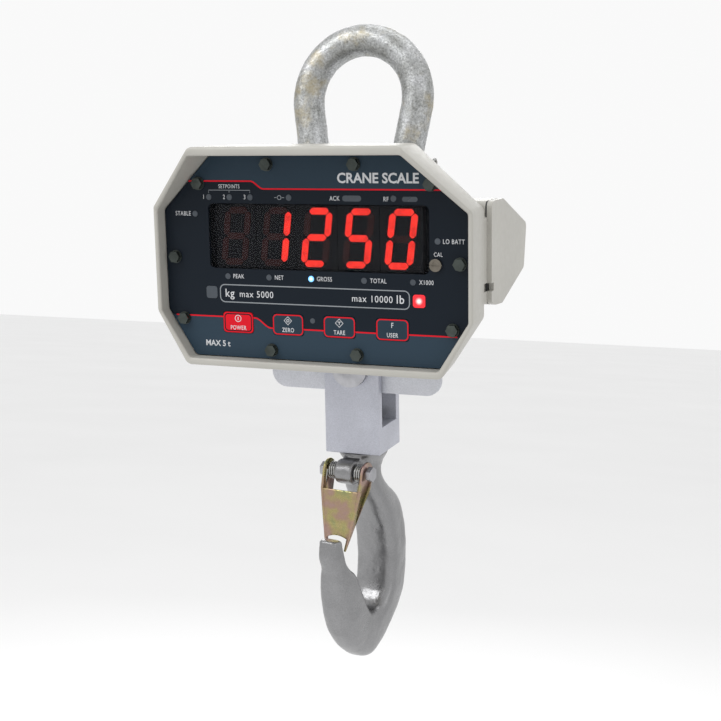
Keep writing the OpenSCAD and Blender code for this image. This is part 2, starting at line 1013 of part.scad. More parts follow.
module hook_block() {
    color([0.77, 0.77, 0.82])
    place() difference() {
        translate([-block_half, -block_half, block_bottom_z])
            cube([block_side, block_side, block_top_z - block_bottom_z]);
        translate([-block_side, -slot_half, floor_z])
            cube([2 * block_side, slot_w, 200]);
        translate([0, 0, lower_pin_z])
            rod_y(lower_pin_d / 2 + 0.03, -40, 40);
        translate([0, 0, block_bottom_z - 1])
            cylinder(r = shank_d / 2 + pin_clear, h = 40);
    }
}

module lower_pin() {
    color("lightgray")
    place() translate([0, 0, lower_pin_z])
        difference() {
            union() {
                rod_y(14.8, -block_half - 5, -block_half);
                rod_y(lower_pin_d / 2, -block_half, block_half + 5);
            }
            difference() {
                rod_y(20, block_half + 0.6, block_half + 2);
                rod_y(lower_pin_d / 2 - 1, 0, block_half + 5);
            }
        }
}

module lower_pin_ring() {
    color("dimgray")
    place() translate([0, 0, lower_pin_z])
        difference() {
            rod_y(13.5, block_half + 0.7, block_half + 1.9);
            rod_y(lower_pin_d / 2 - 0.9, 0, 50);
            translate([-3, 0, -30])
                cube([6, 60, 30]);
        }
}

module bearing_ring(z) {
    translate([0, 0, z])
        difference() {
            cylinder(r = race_r, h = race_t);
            translate([0, 0, -1])
                cylinder(r = thread_d / 2 + 0.4, h = 10);
        }
}

module bearing_lower_race() {
    color("silver")
    place() bearing_ring(floor_z);
}

// ---------------------------------------------------------------- hook

module turned() {
    rotate([0, 0, hook_turn])
        children();
}

module bearing_upper_race() {
    color("silver")
    place() bearing_ring(upper_race_z);
}

module bearing_balls() {
    color("white")
    place() for (i = [0:15])
        rotate([0, 0, i * 22.5])
            translate([ball_ring_r, 0, floor_z + race_t + ball_gap + ball_r - 0.03])
                sphere(r = ball_r - 0.03);
}

module hook_nut() {
    color("silver")
    place() turned()
        translate([0, 0, nut_z])
            difference() {
                cylinder(d = nut_af / cos(30), h = nut_h, $fn = 6);
                translate([0, 0, -1])
                    cylinder(r = thread_d / 2 + 0.05, h = 30);
                translate([0, 0, nut_h - 5])
                    rod_x(1.6, -20, 20);
            }
}

module nut_lock_pin() {
    color("gray")
    place() turned()
        translate([0, 0, nut_z + nut_h - 5])
            rod_x(1.5, -13.6, 13.6);
}

// A section ring of the hook between an inner and an outer edge point, [u, z] each
function hook_ring(inner, outer, w) =
    let (c = (inner + outer) / 2, d = (outer - inner) / 2)
    [for (i = [0:hook_sides - 1])
        let (a = 360 * i / hook_sides)
        let (s = pow(abs(sin(a)), hook_squareness) * sign(sin(a)))
        let (k = pow(abs(cos(a)), hook_squareness) * sign(cos(a)))
        [s * (1 - hook_taper * k) * w / 2, -(c[0] + k * d[0]), c[1] + k * d[1]]];

// A smooth curve through four stations, at t from 0 to 1 between the middle two
function blend4(p0, p1, p2, p3, t) = (2 * p1 + (p2 - p0) * t
    + (2 * p0 - 5 * p1 + 4 * p2 - p3) * t * t + (3 * p1 - p0 - 3 * p2 + p3) * t * t * t) / 2;

last_station = len(hook_stations) - 1;

function station(i) = hook_stations[max(0, min(last_station, i))];

function hook_edge(i, t, part) = blend4(station(i - 1)[part], station(i)[part],
    station(i + 1)[part], station(i + 2)[part], t);

hook_body_rings = [for (i = [0:last_station - 1], j = [0:hook_steps - 1])
    let (t = j / hook_steps)
    hook_ring(hook_edge(i, t, 0), hook_edge(i, t, 1), hook_edge(i, t, 2))];

// The tip closes over a rounded end
tip = hook_stations[last_station];
tip_centre = (tip[0] + tip[1]) / 2;
tip_half = (tip[1] - tip[0]) / 2;
tip_rings = [for (a = [0, 25, 50, 75])
    let (k = 1 - (1 - cos(a)) * 0.55, up = [0.05, 1] * tip_rounding * sin(a))
    hook_ring(tip_centre - tip_half * k + up, tip_centre + tip_half * k + up, tip[2] * k)];

hook_rings = concat(hook_body_rings, tip_rings);

module hook_loft() {
    n = hook_sides;
    last = (len(hook_rings) - 1) * n;
    polyhedron(
        points = [for (ring = hook_rings) each ring],
        faces = concat(
            [[for (i = [0:n - 1]) i]],
            [for (r = [0:len(hook_rings) - 2], i = [0:n - 1])
                let (a = r * n + i, b = r * n + (i + 1) % n)
                each [[a, a + n, b + n], [a, b + n, b]]],
            [[for (i = [n - 1:-1:0]) last + i]]));
}

collar_profile = [[0, 0], [20.5, 0], [20.5, -3], [18, -6], [15.8, -9.5], [14.8, -14], [0, -14]];

module at_latch_pivot() {
    translate([0, -latch_pivot_u, latch_pivot_z])
        children();
}

module hook() {
    color([0.62, 0.62, 0.63])
    place() turned() difference() {
        union() {
            hook_loft();
            translate([0, 0, block_bottom_z - hook_gap])
                rotate_extrude()
                    polygon(collar_profile);
            translate([0, 0, block_bottom_z - hook_gap - 1])
                cylinder(r = shank_d / 2, h = floor_z - 2 - block_bottom_z);
            translate([0, 0, floor_z - 4])
                cylinder(r = thread_d / 2, h = shank_top_z - floor_z + 4);
            at_latch_pivot()
                rod_x(10, -latch_boss_half, latch_boss_half);
            translate([-latch_boss_half, -latch_pivot_u, latch_pivot_z - 10])
                cube([2 * latch_boss_half, latch_pivot_u - 5, 20]);
        }
        at_latch_pivot()
            rod_x(latch_pin_r + pin_clear, -30, 30);
        translate([0, 0, nut_z + nut_h - 5])
            rod_x(1.6, -20, 20);
    }
}

// ---------------------------------------------------------------- latch

foot_half = 9.5;
plate_top_z = -238;

// One side flange, at positive x
module latch_flange() {
    hull() {
        translate([latch_half - latch_sheet, -37, plate_top_z])
            cube([latch_sheet, 16, 2]);
        translate([foot_half - latch_sheet, -34, latch_foot_z])
            cube([latch_sheet, 3, 2]);
    }
}

// The latch is drawn hanging straight down from its pivot, and leans out to the hook's tip
module leaning() {
    at_latch_pivot()
        rotate([-latch_lean, 0, 0])
            translate([0, latch_pivot_u, -latch_pivot_z])
                children();
}

module latch() {
    color([0.72, 0.68, 0.45])
    place() turned() leaning() difference() {
        union() {
            both_sides() {
                at_latch_pivot()
                    rod_x(9.5, latch_half - latch_sheet, latch_half);
                translate([latch_half - latch_sheet, -37, plate_top_z])
                    cube([latch_sheet, 19.5, -plate_top_z + latch_pivot_z]);
                latch_flange();
            }
            hull() {
                translate([-latch_half, -37, plate_top_z])
                    cube([2 * latch_half, latch_sheet, 2]);
                translate([-foot_half, -34.5, latch_foot_z])
                    cube([2 * foot_half, latch_sheet, 2]);
            }
        }
        at_latch_pivot()
            rod_x(latch_pin_r + 0.1, -30, 30);
    }
}

module latch_pin() {
    color("silver")
    place() turned() at_latch_pivot() {
        rod_x(latch_pin_r, -latch_half - 5.5, latch_half + 1);
        hex_x(11, latch_half + 1, latch_half + 5);
    }
}

module latch_nut() {
    color("silver")
    place() turned() at_latch_pivot()
        difference() {
            hex_x(11, -latch_half - 5, -latch_half - 0.5);
            rod_x(latch_pin_r + 0.05, -40, 0);
        }
}

spring_r = 6.4;
spring_wire_r = 0.9;

module latch_spring() {
    color("gray")
    place() turned() at_latch_pivot() both_sides() {
        for (i = [0:2])
            translate([latch_boss_half + 1.4 + 2.1 * i, 0, 0])
                rotate([0, 90, 0])
                    rotate_extrude()
                        translate([spring_r, 0])
                            circle(r = spring_wire_r, $fn = 24);
        rotate([-latch_lean, 0, 0])
            translate([latch_boss_half + 5.3, -spring_r - 0.3, -22])
                cylinder(r = spring_wire_r - 0.2, h = 22);
    }
}

shackle();
shackle_pin();
shackle_nut();
shackle_cotter();
load_cell();
gauge_covers();
cell_cable();
cable_glands();
bracket_plate();
bracket_bolts();
bracket_spacers();
housing_bolts();
housing_nuts();
front_housing();
panel_gasket();
front_panel();
panel_screws();
display_window();
digit_modules();
digits_lit();
digits_dark();
status_lamps();
gross_lamp();
unit_lamp();
key_power();
key_zero();
key_tare();
key_user();
key_switches();
cal_screw();
display_board();
main_board();
board_parts();
board_standoffs();
radio_module();
neck_frame();
rear_housing();
door_gaskets();
battery_door_left();
battery_door_right();
door_hinge_pins();
battery_tray_left();
battery_tray_right();
battery_cells();
battery_springs();
hook_block();
lower_pin();
lower_pin_ring();
bearing_lower_race();
hook();
bearing_upper_race();
bearing_balls();
hook_nut();
nut_lock_pin();
latch();
latch_pin();
latch_nut();
latch_spring();
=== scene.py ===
"""Looks of the hanging crane scale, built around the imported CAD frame.

Pieces are drawn in millimetres in the scale's own axes and placed by three matrices:
LINE has its origin on the shackle pin and +Z up the load line, UPRIGHT has the same origin
and hangs plumb with the shackle, and HOOK is LINE turned with the hook.
"""
import json
import math

import bmesh
import bpy
from mathutils import Matrix, Vector, noise


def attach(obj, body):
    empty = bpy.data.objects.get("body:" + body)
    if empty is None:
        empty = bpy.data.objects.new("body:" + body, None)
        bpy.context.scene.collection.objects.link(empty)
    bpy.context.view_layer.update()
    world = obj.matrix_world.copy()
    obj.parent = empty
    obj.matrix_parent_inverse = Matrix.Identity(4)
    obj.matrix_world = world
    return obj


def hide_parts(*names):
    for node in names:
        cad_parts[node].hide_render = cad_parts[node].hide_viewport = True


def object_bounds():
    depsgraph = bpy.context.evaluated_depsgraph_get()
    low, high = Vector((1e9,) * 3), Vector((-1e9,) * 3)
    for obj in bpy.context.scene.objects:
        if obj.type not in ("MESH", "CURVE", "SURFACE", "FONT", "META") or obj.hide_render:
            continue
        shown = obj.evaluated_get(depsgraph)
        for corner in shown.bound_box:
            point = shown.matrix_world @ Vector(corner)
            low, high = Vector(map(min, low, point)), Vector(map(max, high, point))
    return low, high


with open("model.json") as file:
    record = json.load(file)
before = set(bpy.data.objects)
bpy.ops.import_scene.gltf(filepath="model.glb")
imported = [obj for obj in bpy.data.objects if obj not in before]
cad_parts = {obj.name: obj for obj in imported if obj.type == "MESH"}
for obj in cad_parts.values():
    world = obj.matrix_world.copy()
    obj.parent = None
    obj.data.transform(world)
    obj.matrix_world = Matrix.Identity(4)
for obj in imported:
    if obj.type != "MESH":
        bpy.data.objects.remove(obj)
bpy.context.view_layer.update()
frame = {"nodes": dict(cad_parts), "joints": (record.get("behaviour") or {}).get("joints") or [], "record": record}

MM = 0.001
JOINTS = {joint["name"]: joint for joint in frame["joints"]}


# ------------------------------------------------------------------ axes

def axes(x, z, origin):
    """Matrix from millimetres in a piece's own axes to metres in the frame."""
    turn = Matrix((x, z.cross(x), z)).transposed().to_4x4()
    return Matrix.Translation(origin) @ turn @ Matrix.Scale(MM, 4)


RIGHT = Vector((1, 0, 0))
PIN = Vector(JOINTS["suspension"]["pos_m"])
LOAD_UP = Vector(JOINTS["hook_swivel"]["axis"]).normalized()
LATCH_AXIS = Vector(JOINTS["latch_hinge"]["axis"]).normalized()
LATCH_PIVOT = Vector(JOINTS["latch_hinge"]["pos_m"])
LINE = axes(RIGHT, LOAD_UP, PIN)
UPRIGHT = axes(RIGHT, Vector((0, 0, 1)), PIN)
HOOK = axes(LATCH_AXIS, LOAD_UP, PIN)
# Degrees by which the latch leans out from the load line towards the hook's tip
LATCH_LEAN = 14
LATCH = axes(LATCH_AXIS, LOAD_UP, LATCH_PIVOT) @ Matrix.Rotation(math.radians(-LATCH_LEAN), 4, "X")


def extent(node, place):
    """Lowest and highest corner of a CAD node in a piece's own axes, in millimetres."""
    back = place.inverted()
    points = [back @ v.co for v in frame["nodes"][node].data.vertices]
    low = Vector([min(p[i] for p in points) for i in range(3)])
    high = Vector([max(p[i] for p in points) for i in range(3)])
    return low, high


# ------------------------------------------------------------------ materials

class Shader:
    """A Principled material with a few helpers for procedural detail."""

    def __init__(self, name, base, rough=0.5, metallic=0.0, place=LINE):
        self.material = bpy.data.materials.new(name)
        self.material.use_nodes = True
        self.nodes = self.material.node_tree.nodes
        self.links = self.material.node_tree.links
        self.bsdf = self.nodes["Principled BSDF"]
        self.bsdf.inputs["Base Color"].default_value = (*base, 1)
        self.bsdf.inputs["Roughness"].default_value = rough
        self.bsdf.inputs["Metallic"].default_value = metallic
        self.base = base
        self.rough = rough
        self.place = place
        self.coords = None

    def node(self, kind, **inputs):
        made = self.nodes.new(kind)
        for name, value in inputs.items():
            made.inputs[name.replace("_", " ")].default_value = value
        return made

    def link(self, source, target):
        self.links.new(source, target)

    def local(self):
        """Coordinates in the scale's own axes, in millimetres."""
        if self.coords is None:
            texture = self.nodes.new("ShaderNodeTexCoord")
            mapping = self.nodes.new("ShaderNodeMapping")
            back = self.place.inverted()
            mapping.inputs["Location"].default_value = back.to_translation()
            mapping.inputs["Rotation"].default_value = back.to_euler()
            mapping.inputs["Scale"].default_value = back.to_scale()
            self.link(texture.outputs["Object"], mapping.inputs["Vector"])
            self.coords = mapping.outputs["Vector"]
        return self.coords

    def noise(self, size, detail=4, rough=0.55, stretch=(1, 1, 1)):
        """Noise whose grains are about size millimetres across."""
        scaled = self.nodes.new("ShaderNodeVectorMath")
        scaled.operation = "MULTIPLY"
        scaled.inputs[1].default_value = stretch
        self.link(self.local(), scaled.inputs[0])
        made = self.node("ShaderNodeTexNoise", Scale=1 / size, Detail=detail, Roughness=rough)
        self.link(scaled.outputs["Vector"], made.inputs["Vector"])
        return made.outputs["Fac"]

    def ramp(self, source, stops):
        """A colour ramp with stops of (place, colour)."""
        made = self.nodes.new("ShaderNodeValToRGB")
        bands = made.color_ramp.elements
        while len(bands) < len(stops):
            bands.new(0.5)
        for band, (place, colour) in zip(bands, stops):
            band.position = place
            band.color = (*colour, 1)
        self.link(source, made.inputs["Fac"])
        return made.outputs["Color"]

    def span(self, source, low, high, from_low=0.3, from_high=0.7, smooth=False):
        made = self.nodes.new("ShaderNodeMapRange")
        made.interpolation_type = "SMOOTHSTEP" if smooth else "LINEAR"
        made.inputs["From Min"].default_value = from_low
        made.inputs["From Max"].default_value = from_high
        made.inputs["To Min"].default_value = low
        made.inputs["To Max"].default_value = high
        self.link(source, made.inputs["Value"])
        return made.outputs["Result"]

    def math(self, operation, first, second):
        made = self.nodes.new("ShaderNodeMath")
        made.operation = operation
        for socket, value in zip(made.inputs, (first, second)):
            if isinstance(value, (int, float)):
                socket.default_value = value
            else:
                self.link(value, socket)
        return made.outputs["Value"]

    def mix(self, factor, first, second, blend="MIX"):
        made = self.nodes.new("ShaderNodeMix")
        made.data_type = "RGBA"
        made.blend_type = blend
        sockets = {s.identifier: s for s in made.inputs}
        pairs = (("Factor_Float", factor), ("A_Color", first), ("B_Color", second))
        for key, value in pairs:
            if isinstance(value, (int, float)):
                sockets[key].default_value = value
            elif isinstance(value, tuple):
                sockets[key].default_value = (*value, 1)
            else:
                self.link(value, sockets[key])
        return next(s for s in made.outputs if s.identifier == "Result_Color")

    def colour(self, source):
        self.link(source, self.bsdf.inputs["Base Color"])

    def roughness(self, source):
        self.link(source, self.bsdf.inputs["Roughness"])

    def bump(self, source, height, strength=1.0):
        """Raises the surface by up to height millimetres."""
        made = self.node("ShaderNodeBump", Strength=strength, Distance=height * MM)
        self.link(source, made.inputs["Height"])
        last = self.bsdf.inputs["Normal"]
        if last.is_linked:
            self.link(last.links[0].from_socket, made.inputs["Normal"])
        self.link(made.outputs["Normal"], last)

    def glow(self, colour, strength):
        self.bsdf.inputs["Emission Color"].default_value = (*colour, 1)
        self.bsdf.inputs["Emission Strength"].default_value = strength


def scaled(colour, factor):
    return tuple(min(1.0, c * factor) for c in colour)


def worn(name, base, rough, metallic, grain, shade=0.12, bump=0.02, place=LINE):
    """A finish with soft blotches, fine grain and uneven gloss."""
    shader = Shader(name, base, rough, metallic, place)
    blotch = shader.noise(grain * 12, 3)
    fine = shader.noise(grain, 3, 0.6)
    dull = shader.ramp(blotch, [(0.3, scaled(base, 1 - shade)), (0.7, scaled(base, 1 + shade))])
    speck = shader.ramp(fine, [(0.3, (0.93, 0.93, 0.93)), (0.7, (1, 1, 1))])
    shader.colour(shader.mix(1.0, dull, speck, "MULTIPLY"))
    shader.roughness(shader.span(blotch, rough * 0.82, min(1.0, rough * 1.2)))
    shader.bump(fine, bump)
    return shader


def matt(shader):
    """Takes most of the gloss off a finish."""
    shader.bsdf.inputs["Specular IOR Level"].default_value = 0.12
    return shader


def galvanised(name):
    """Hot-dip zinc: pitted, mottled, bright on the high spots, with yellowish stains."""
    base = (0.42, 0.43, 0.42)
    shader = Shader(name, base, 0.4, 0.92, UPRIGHT)
    blotch = shader.noise(16, 5, 0.65)
    speck = shader.noise(1.6, 5, 0.75)
    crystal = shader.node("ShaderNodeTexVoronoi", Scale=0.28)
    shader.link(shader.local(), crystal.inputs["Vector"])
    grey = shader.ramp(blotch, [(0.3, (0.34, 0.345, 0.33)), (0.5, (0.50, 0.51, 0.51)),
                                (0.72, (0.66, 0.67, 0.69))])
    spot = shader.ramp(speck, [(0.32, (0.45, 0.45, 0.44)), (0.5, (0.85, 0.85, 0.85)),
                               (0.68, (1.25, 1.25, 1.25))])
    mottled = shader.mix(1.0, grey, spot, "MULTIPLY")
    flakes = shader.span(crystal.outputs["Distance"], 0.9, 1.08, 0.0, 3.0)
    flaked = shader.mix(1.0, mottled, shader.ramp(flakes, [(0.85, (0.86, 0.86, 0.86)),
                                                          (1.0, (1, 1, 1))]), "MULTIPLY")
    stain = shader.span(shader.noise(26, 4, 0.6), 0.0, 0.6, 0.52, 0.72, smooth=True)
    shader.colour(shader.mix(stain, flaked, (0.42, 0.35, 0.20)))
    shader.roughness(shader.span(speck, 0.50, 0.24))
    shader.bump(shader.noise(3.2, 5, 0.7), 0.28)
    shader.bump(speck, 0.16)
    return shader


def powder_coat(name):
    """Warm light grey powder coat with a fine orange-peel skin."""
    base = (0.42, 0.41, 0.375)
    shader = Shader(name, base, 0.42, 0.0)
    blotch = shader.noise(55, 3)
    shader.colour(shader.ramp(blotch, [(0.3, scaled(base, 0.96)), (0.7, scaled(base, 1.04))]))
    shader.roughness(shader.span(shader.noise(4, 3), 0.36, 0.48))
    shader.bump(shader.noise(1.1, 2), 0.035)
    shader.bsdf.inputs["Specular IOR Level"].default_value = 0.45
    return shader


def silver_paint(name, base, rough, grain=0.7, bump=0.03, place=LINE):
    """Aluminium-flake paint: pale, a little sparkle, soft highlights."""
    shader = Shader(name, base, rough, 0.55, place)
    flake = shader.noise(grain, 2, 0.7)
    cloud = shader.noise(30, 4)
    tone = shader.ramp(cloud, [(0.3, scaled(base, 0.93)), (0.7, scaled(base, 1.07))])
    glint = shader.ramp(flake, [(0.35, (0.9, 0.9, 0.9)), (0.65, (1.08, 1.08, 1.08))])
    shader.colour(shader.mix(1.0, tone, glint, "MULTIPLY"))
    shader.roughness(shader.span(flake, rough + 0.08, rough - 0.06))
    shader.bump(flake, bump)
    return shader


def forged_paint(name):
    """Silver paint over a forging: scale pits, grinding waves and rubbed high spots."""
    shader = silver_paint(name, (0.27, 0.27, 0.275), 0.36, 0.9, 0.04, HOOK)
    shader.bsdf.inputs["Metallic"].default_value = 0.88
    rub = shader.noise(22, 4, 0.6)
    shader.roughness(shader.span(rub, 0.42, 0.24))
    shader.bump(shader.noise(9, 5, 0.6), 0.5)
    shader.bump(shader.noise(2.4, 3, 0.6), 0.09)
    return shader


def yellow_zinc(name):
    """Yellow chromate over zinc: gold that drifts to pink and green."""
    shader = Shader(name, (0.6, 0.5, 0.25), 0.28, 0.95, LATCH)
    drift = shader.noise(17, 3, 0.5)
    tint = shader.ramp(drift, [(0.28, (0.30, 0.34, 0.17)), (0.42, (0.44, 0.38, 0.17)),
                               (0.52, (0.42, 0.29, 0.21)), (0.62, (0.42, 0.28, 0.26)),
                               (0.74, (0.38, 0.40, 0.25))])
    speck = shader.ramp(shader.noise(1.2, 4, 0.7), [(0.3, (0.82, 0.82, 0.82)), (0.7, (1, 1, 1))])
    shader.colour(shader.mix(1.0, tint, speck, "MULTIPLY"))
    shader.roughness(shader.span(drift, 0.22, 0.38))
    shader.bump(shader.noise(2.0, 4, 0.6), 0.05)
    return shader


def machined(name, base, rough, grain=(1, 1, 14)):
    """Bright steel with fine tool marks."""
    shader = Shader(name, base, rough, 1.0)
    marks = shader.noise(2.2, 3, 0.6, stretch=grain)
    stain = shader.noise(12, 4, 0.6)
    tone = shader.ramp(stain, [(0.3, scaled(base, 0.78)), (0.7, scaled(base, 1.1))])
    line = shader.ramp(marks, [(0.3, (0.85, 0.85, 0.85)), (0.7, (1, 1, 1))])
    shader.colour(shader.mix(1.0, tone, line, "MULTIPLY"))
    shader.roughness(shader.span(marks, rough * 0.75, rough * 1.3))
    shader.bump(marks, 0.02)
    return shader


# Printed panel, in the scale's own axes: heights of the two printed boundary lines, which
# step down between two places along x
TOP_LINE = ((-49.0, 16.0), (-38.4, 10.3))
LOW_LINE = ((-48.7, -87.4), (-35.4, -94.6))
SLATE = (0.021, 0.038, 0.056)
NIGHT = (0.0050, 0.0090, 0.0150)


def panel_print(name):
    """Matt film, slate above and below a near-black middle, split along the red lines."""
    shader = Shader(name, NIGHT, 0.42)
    shader.bsdf.inputs["Specular IOR Level"].default_value = 0.14
    split = shader.nodes.new("ShaderNodeSeparateXYZ")
    shader.link(shader.local(), split.inputs["Vector"])
    x = split.outputs["X"]
    z = split.outputs["Z"]
    masks = []
    for line, above in ((TOP_LINE, True), (LOW_LINE, False)):
        (x0, z0), (x1, z1) = line
        height = shader.span(x, z0, z1, x0, x1, smooth=True)
        pair = (z, height) if above else (height, z)
        masks.append(shader.math("GREATER_THAN", *pair))
    slate = shader.math("MAXIMUM", *masks)
    grain = shader.noise(0.9, 2)
    tone = shader.mix(slate, NIGHT, SLATE)
    fade = shader.ramp(shader.span(z, 0.0, 1.0, -120, 45), [(0.0, (1.25, 1.25, 1.25)),
                                                          (0.5, (0.95, 0.95, 0.95)),
                                                          (1.0, (1.05, 1.05, 1.05))])
    shader.colour(shader.mix(1.0, tone, fade, "MULTIPLY"))
    shader.roughness(shader.span(grain, 0.36, 0.48))
    shader.bump(grain, 0.012)
    return shader


def ink(name, base):
    """Screen-printed ink, slightly uneven."""
    return worn(name, base, 0.5, 0.0, 0.8, shade=0.04, bump=0.004)


def window_tint(name):
    """Smoked display window that lets the lit numerals through."""
    shader = Shader(name, (0.012, 0.013, 0.016), 0.12)
    shader.bsdf.inputs["Specular IOR Level"].default_value = 0.2
    shader.bsdf.inputs["Alpha"].default_value = 0.15
    grain = shader.noise(0.7, 2)
    shader.roughness(shader.span(grain, 0.10, 0.2))
    shader.colour(shader.ramp(shader.noise(30, 2), [(0.3, (0.011, 0.012, 0.015)),
                                                   (0.7, (0.014, 0.015, 0.018))]))
    return shader


def lit(name, centre, edge, strength, middle=None, reach=5.0):
    """A glowing part; with a middle point it is hotter there."""
    shader = Shader(name, edge, 0.35)
    shader.glow(edge, strength)
    if middle is None:
        fade = shader.span(shader.noise(6, 2), 0.0, 1.0)
    else:
        gap = shader.nodes.new("ShaderNodeVectorMath")
        gap.operation = "DISTANCE"
        shader.link(shader.local(), gap.inputs[0])
        gap.inputs[1].default_value = middle
        fade = shader.span(gap.outputs["Value"], 0.0, 1.0, 0.4, reach, smooth=True)
    between = tuple((c * 0.3 + e * 0.7) for c, e in zip(centre, edge))
    tone = shader.ramp(fade, [(0.0, centre), (0.22, between), (0.5, edge),
                              (1.0, scaled(edge, 0.75))])
    shader.link(tone, shader.bsdf.inputs["Emission Color"])
    shader.colour(tone)
    return shader


def circuit(name):
    """Green solder mask with a faint pattern of tracks."""
    shader = Shader(name, (0.01, 0.10, 0.04), 0.35)
    brick = shader.node("ShaderNodeTexBrick", Scale=0.35)
    turned = shader.nodes.new("ShaderNodeMapping")
    turned.inputs["Rotation"].default_value = (math.radians(90), 0, 0)
    shader.link(shader.local(), turned.inputs["Vector"])
    shader.link(turned.outputs["Vector"], brick.inputs["Vector"])
    brick.inputs["Color1"].default_value = (0.012, 0.13, 0.05, 1)
    brick.inputs["Color2"].default_value = (0.010, 0.10, 0.04, 1)
    brick.inputs["Mortar"].default_value = (0.03, 0.22, 0.09, 1)
    shader.colour(brick.outputs["Color"])
    shader.bump(shader.noise(2, 2), 0.02)
    return shader


def jacket(name):
    """Battery sleeve: copper top band over black."""
    shader = Shader(name, (0.02, 0.02, 0.02), 0.35)
    split = shader.nodes.new("ShaderNodeSeparateXYZ")
    shader.link(shader.local(), split.inputs["Vector"])
    reach = shader.math("ABSOLUTE", split.outputs["X"], 0.0)
    band = shader.math("GREATER_THAN", reach, 104.0)
    shader.colour(shader.mix(band, (0.02, 0.02, 0.022), (0.48, 0.26, 0.10)))
    shader.bump(shader.noise(3, 2), 0.02)
    return shader


MATERIALS = {
    "galvanised_steel": galvanised("galvanised"),
    "zinc_steel": worn("zinc_plate", (0.40, 0.40, 0.42), 0.36, 1.0, 1.1, shade=0.3, bump=0.09),
    "load_cell_steel": machined("load_cell_steel", (0.46, 0.47, 0.49), 0.30),
    "bracket_paint": silver_paint("bracket_paint", (0.55, 0.56, 0.60), 0.42),
    "housing_paint": powder_coat("housing_paint"),
    "panel_print": panel_print("panel_print"),
    "window_tint": window_tint("window_tint"),
    "numeral_body": matt(worn("numeral_body", (0.008, 0.009, 0.011), 0.6, 0.0, 1.0)),
    "lit_red": lit("lit_red", (0.92, 0.030, 0.014), (0.86, 0.022, 0.012), 0.85),
    "unlit_segment": matt(worn("unlit_segment", (0.040, 0.016, 0.016), 0.6, 0.0, 1.0)),
    "lamp_grey": worn("lamp_grey", (0.045, 0.056, 0.070), 0.3, 0.0, 1.2),
    "lamp_blue": lit("lamp_blue", (0.62, 0.86, 1.0), (0.16, 0.48, 1.0), 1.1,
                     middle=(-1.1, -95.0, -56.0), reach=3.2),
    "key_red": matt(worn("key_red", (0.60, 0.006, 0.014), 0.5, 0.0, 1.0, shade=0.05, bump=0.01)),
    "key_dark": matt(worn("key_dark", SLATE, 0.5, 0.0, 1.0, shade=0.06, bump=0.01)),
    "black_rubber": worn("black_rubber", (0.014, 0.014, 0.015), 0.7, 0.0, 1.0),
    "black_screw": worn("black_oxide", (0.060, 0.070, 0.064), 0.34, 0.85, 0.9, shade=0.3,
                        bump=0.04),
    "circuit_board": circuit("circuit_board"),
    "component_black": worn("component_black", (0.02, 0.02, 0.02), 0.5, 0.0, 1.0),
    "brass_post": worn("brass_post", (0.55, 0.38, 0.13), 0.3, 1.0, 1.0),
    "radio_can": worn("radio_can", (0.6, 0.6, 0.6), 0.28, 1.0, 1.0),
    "tray_plastic": worn("tray_plastic", (0.03, 0.033, 0.036), 0.55, 0.0, 1.2),
    "cell_jacket": jacket("cell_jacket"),
    "spring_steel": machined("spring_steel", (0.45, 0.45, 0.44), 0.28),
    "block_steel": silver_paint("block_paint", (0.47, 0.48, 0.535), 0.42),
    "forged_paint": forged_paint("forged_paint"),
    "yellow_zinc": yellow_zinc("yellow_zinc"),
}
UNIT_GLOW = lit("unit_glow", (1.0, 0.62, 0.60), (0.80, 0.012, 0.022), 0.8,
                middle=(83.8, -95.0, -69.6), reach=5.6)
CAL_STEEL = worn("cal_steel", (0.20, 0.18, 0.15), 0.3, 1.0, 0.8, shade=0.3, bump=0.04)
BLACK_BOARD = matt(worn("black_board", (0.007, 0.009, 0.012), 0.6, 0.0, 1.0))
SLATE_INK = matt(ink("slate_ink", SLATE))
GAP_INK = matt(ink("gap_ink", NIGHT))
WHITE_INK = ink("white_ink", (0.60, 0.61, 0.63))
GREY_INK = ink("grey_ink", (0.24, 0.26, 0.28))
RED_INK = matt(ink("red_ink", (0.66, 0.008, 0.020)))
OVERRIDES = {"unit_lamp": UNIT_GLOW, "cal_screw": CAL_STEEL, "display_board": BLACK_BOARD}


def coat(piece, slot, shader=None):
    """Gives a piece its material, the one for its record slot unless a shader is given."""
    material = (shader or MATERIALS[slot]).material
    piece.data.materials.clear()
    piece.data.materials.append(material)
    return piece


# ------------------------------------------------------------------ mesh helpers

def build(name, points, faces, place=LINE, crease=32):
    """A mesh object from millimetre points, shaded smooth except at creases."""
    mesh = bpy.data.meshes.new(name)
    mesh.from_pydata([place @ Vector(p) for p in points], [], faces)
    work = bmesh.new()
    work.from_mesh(mesh)
    bmesh.ops.recalc_face_normals(work, faces=work.faces)
    work.to_mesh(mesh)
    work.free()
    piece = bpy.data.objects.new(name, mesh)
    bpy.context.scene.collection.objects.link(piece)
    shade(piece, crease)
    return piece


def shade(piece, crease):
    piece.data.shade_smooth()
    piece.data.set_sharp_from_angle(angle=math.radians(crease))


def loft(rings, closed_ends=True, ring_loop=False):
    """Points and faces that join equal rings of points."""
    n = len(rings[0])
    points = [p for ring in rings for p in ring]
    last = len(rings) if ring_loop else len(rings) - 1
    faces = []
    for r in range(last):
        a = r * n
        b = ((r + 1) % len(rings)) * n
        faces += [(a + i, b + i, b + (i + 1) % n, a + (i + 1) % n) for i in range(n)]
    if closed_ends and not ring_loop:
        faces.append(tuple(range(n)))
        faces.append(tuple(len(points) - n + i for i in range(n)))
    return points, faces


def merged(*parts):
    """Several (points, faces) as one."""
    points, faces = [], []
    for more_points, more_faces in parts:
        start = len(points)
        points += list(more_points)
        faces += [tuple(i + start for i in face) for face in more_faces]
    return points, faces


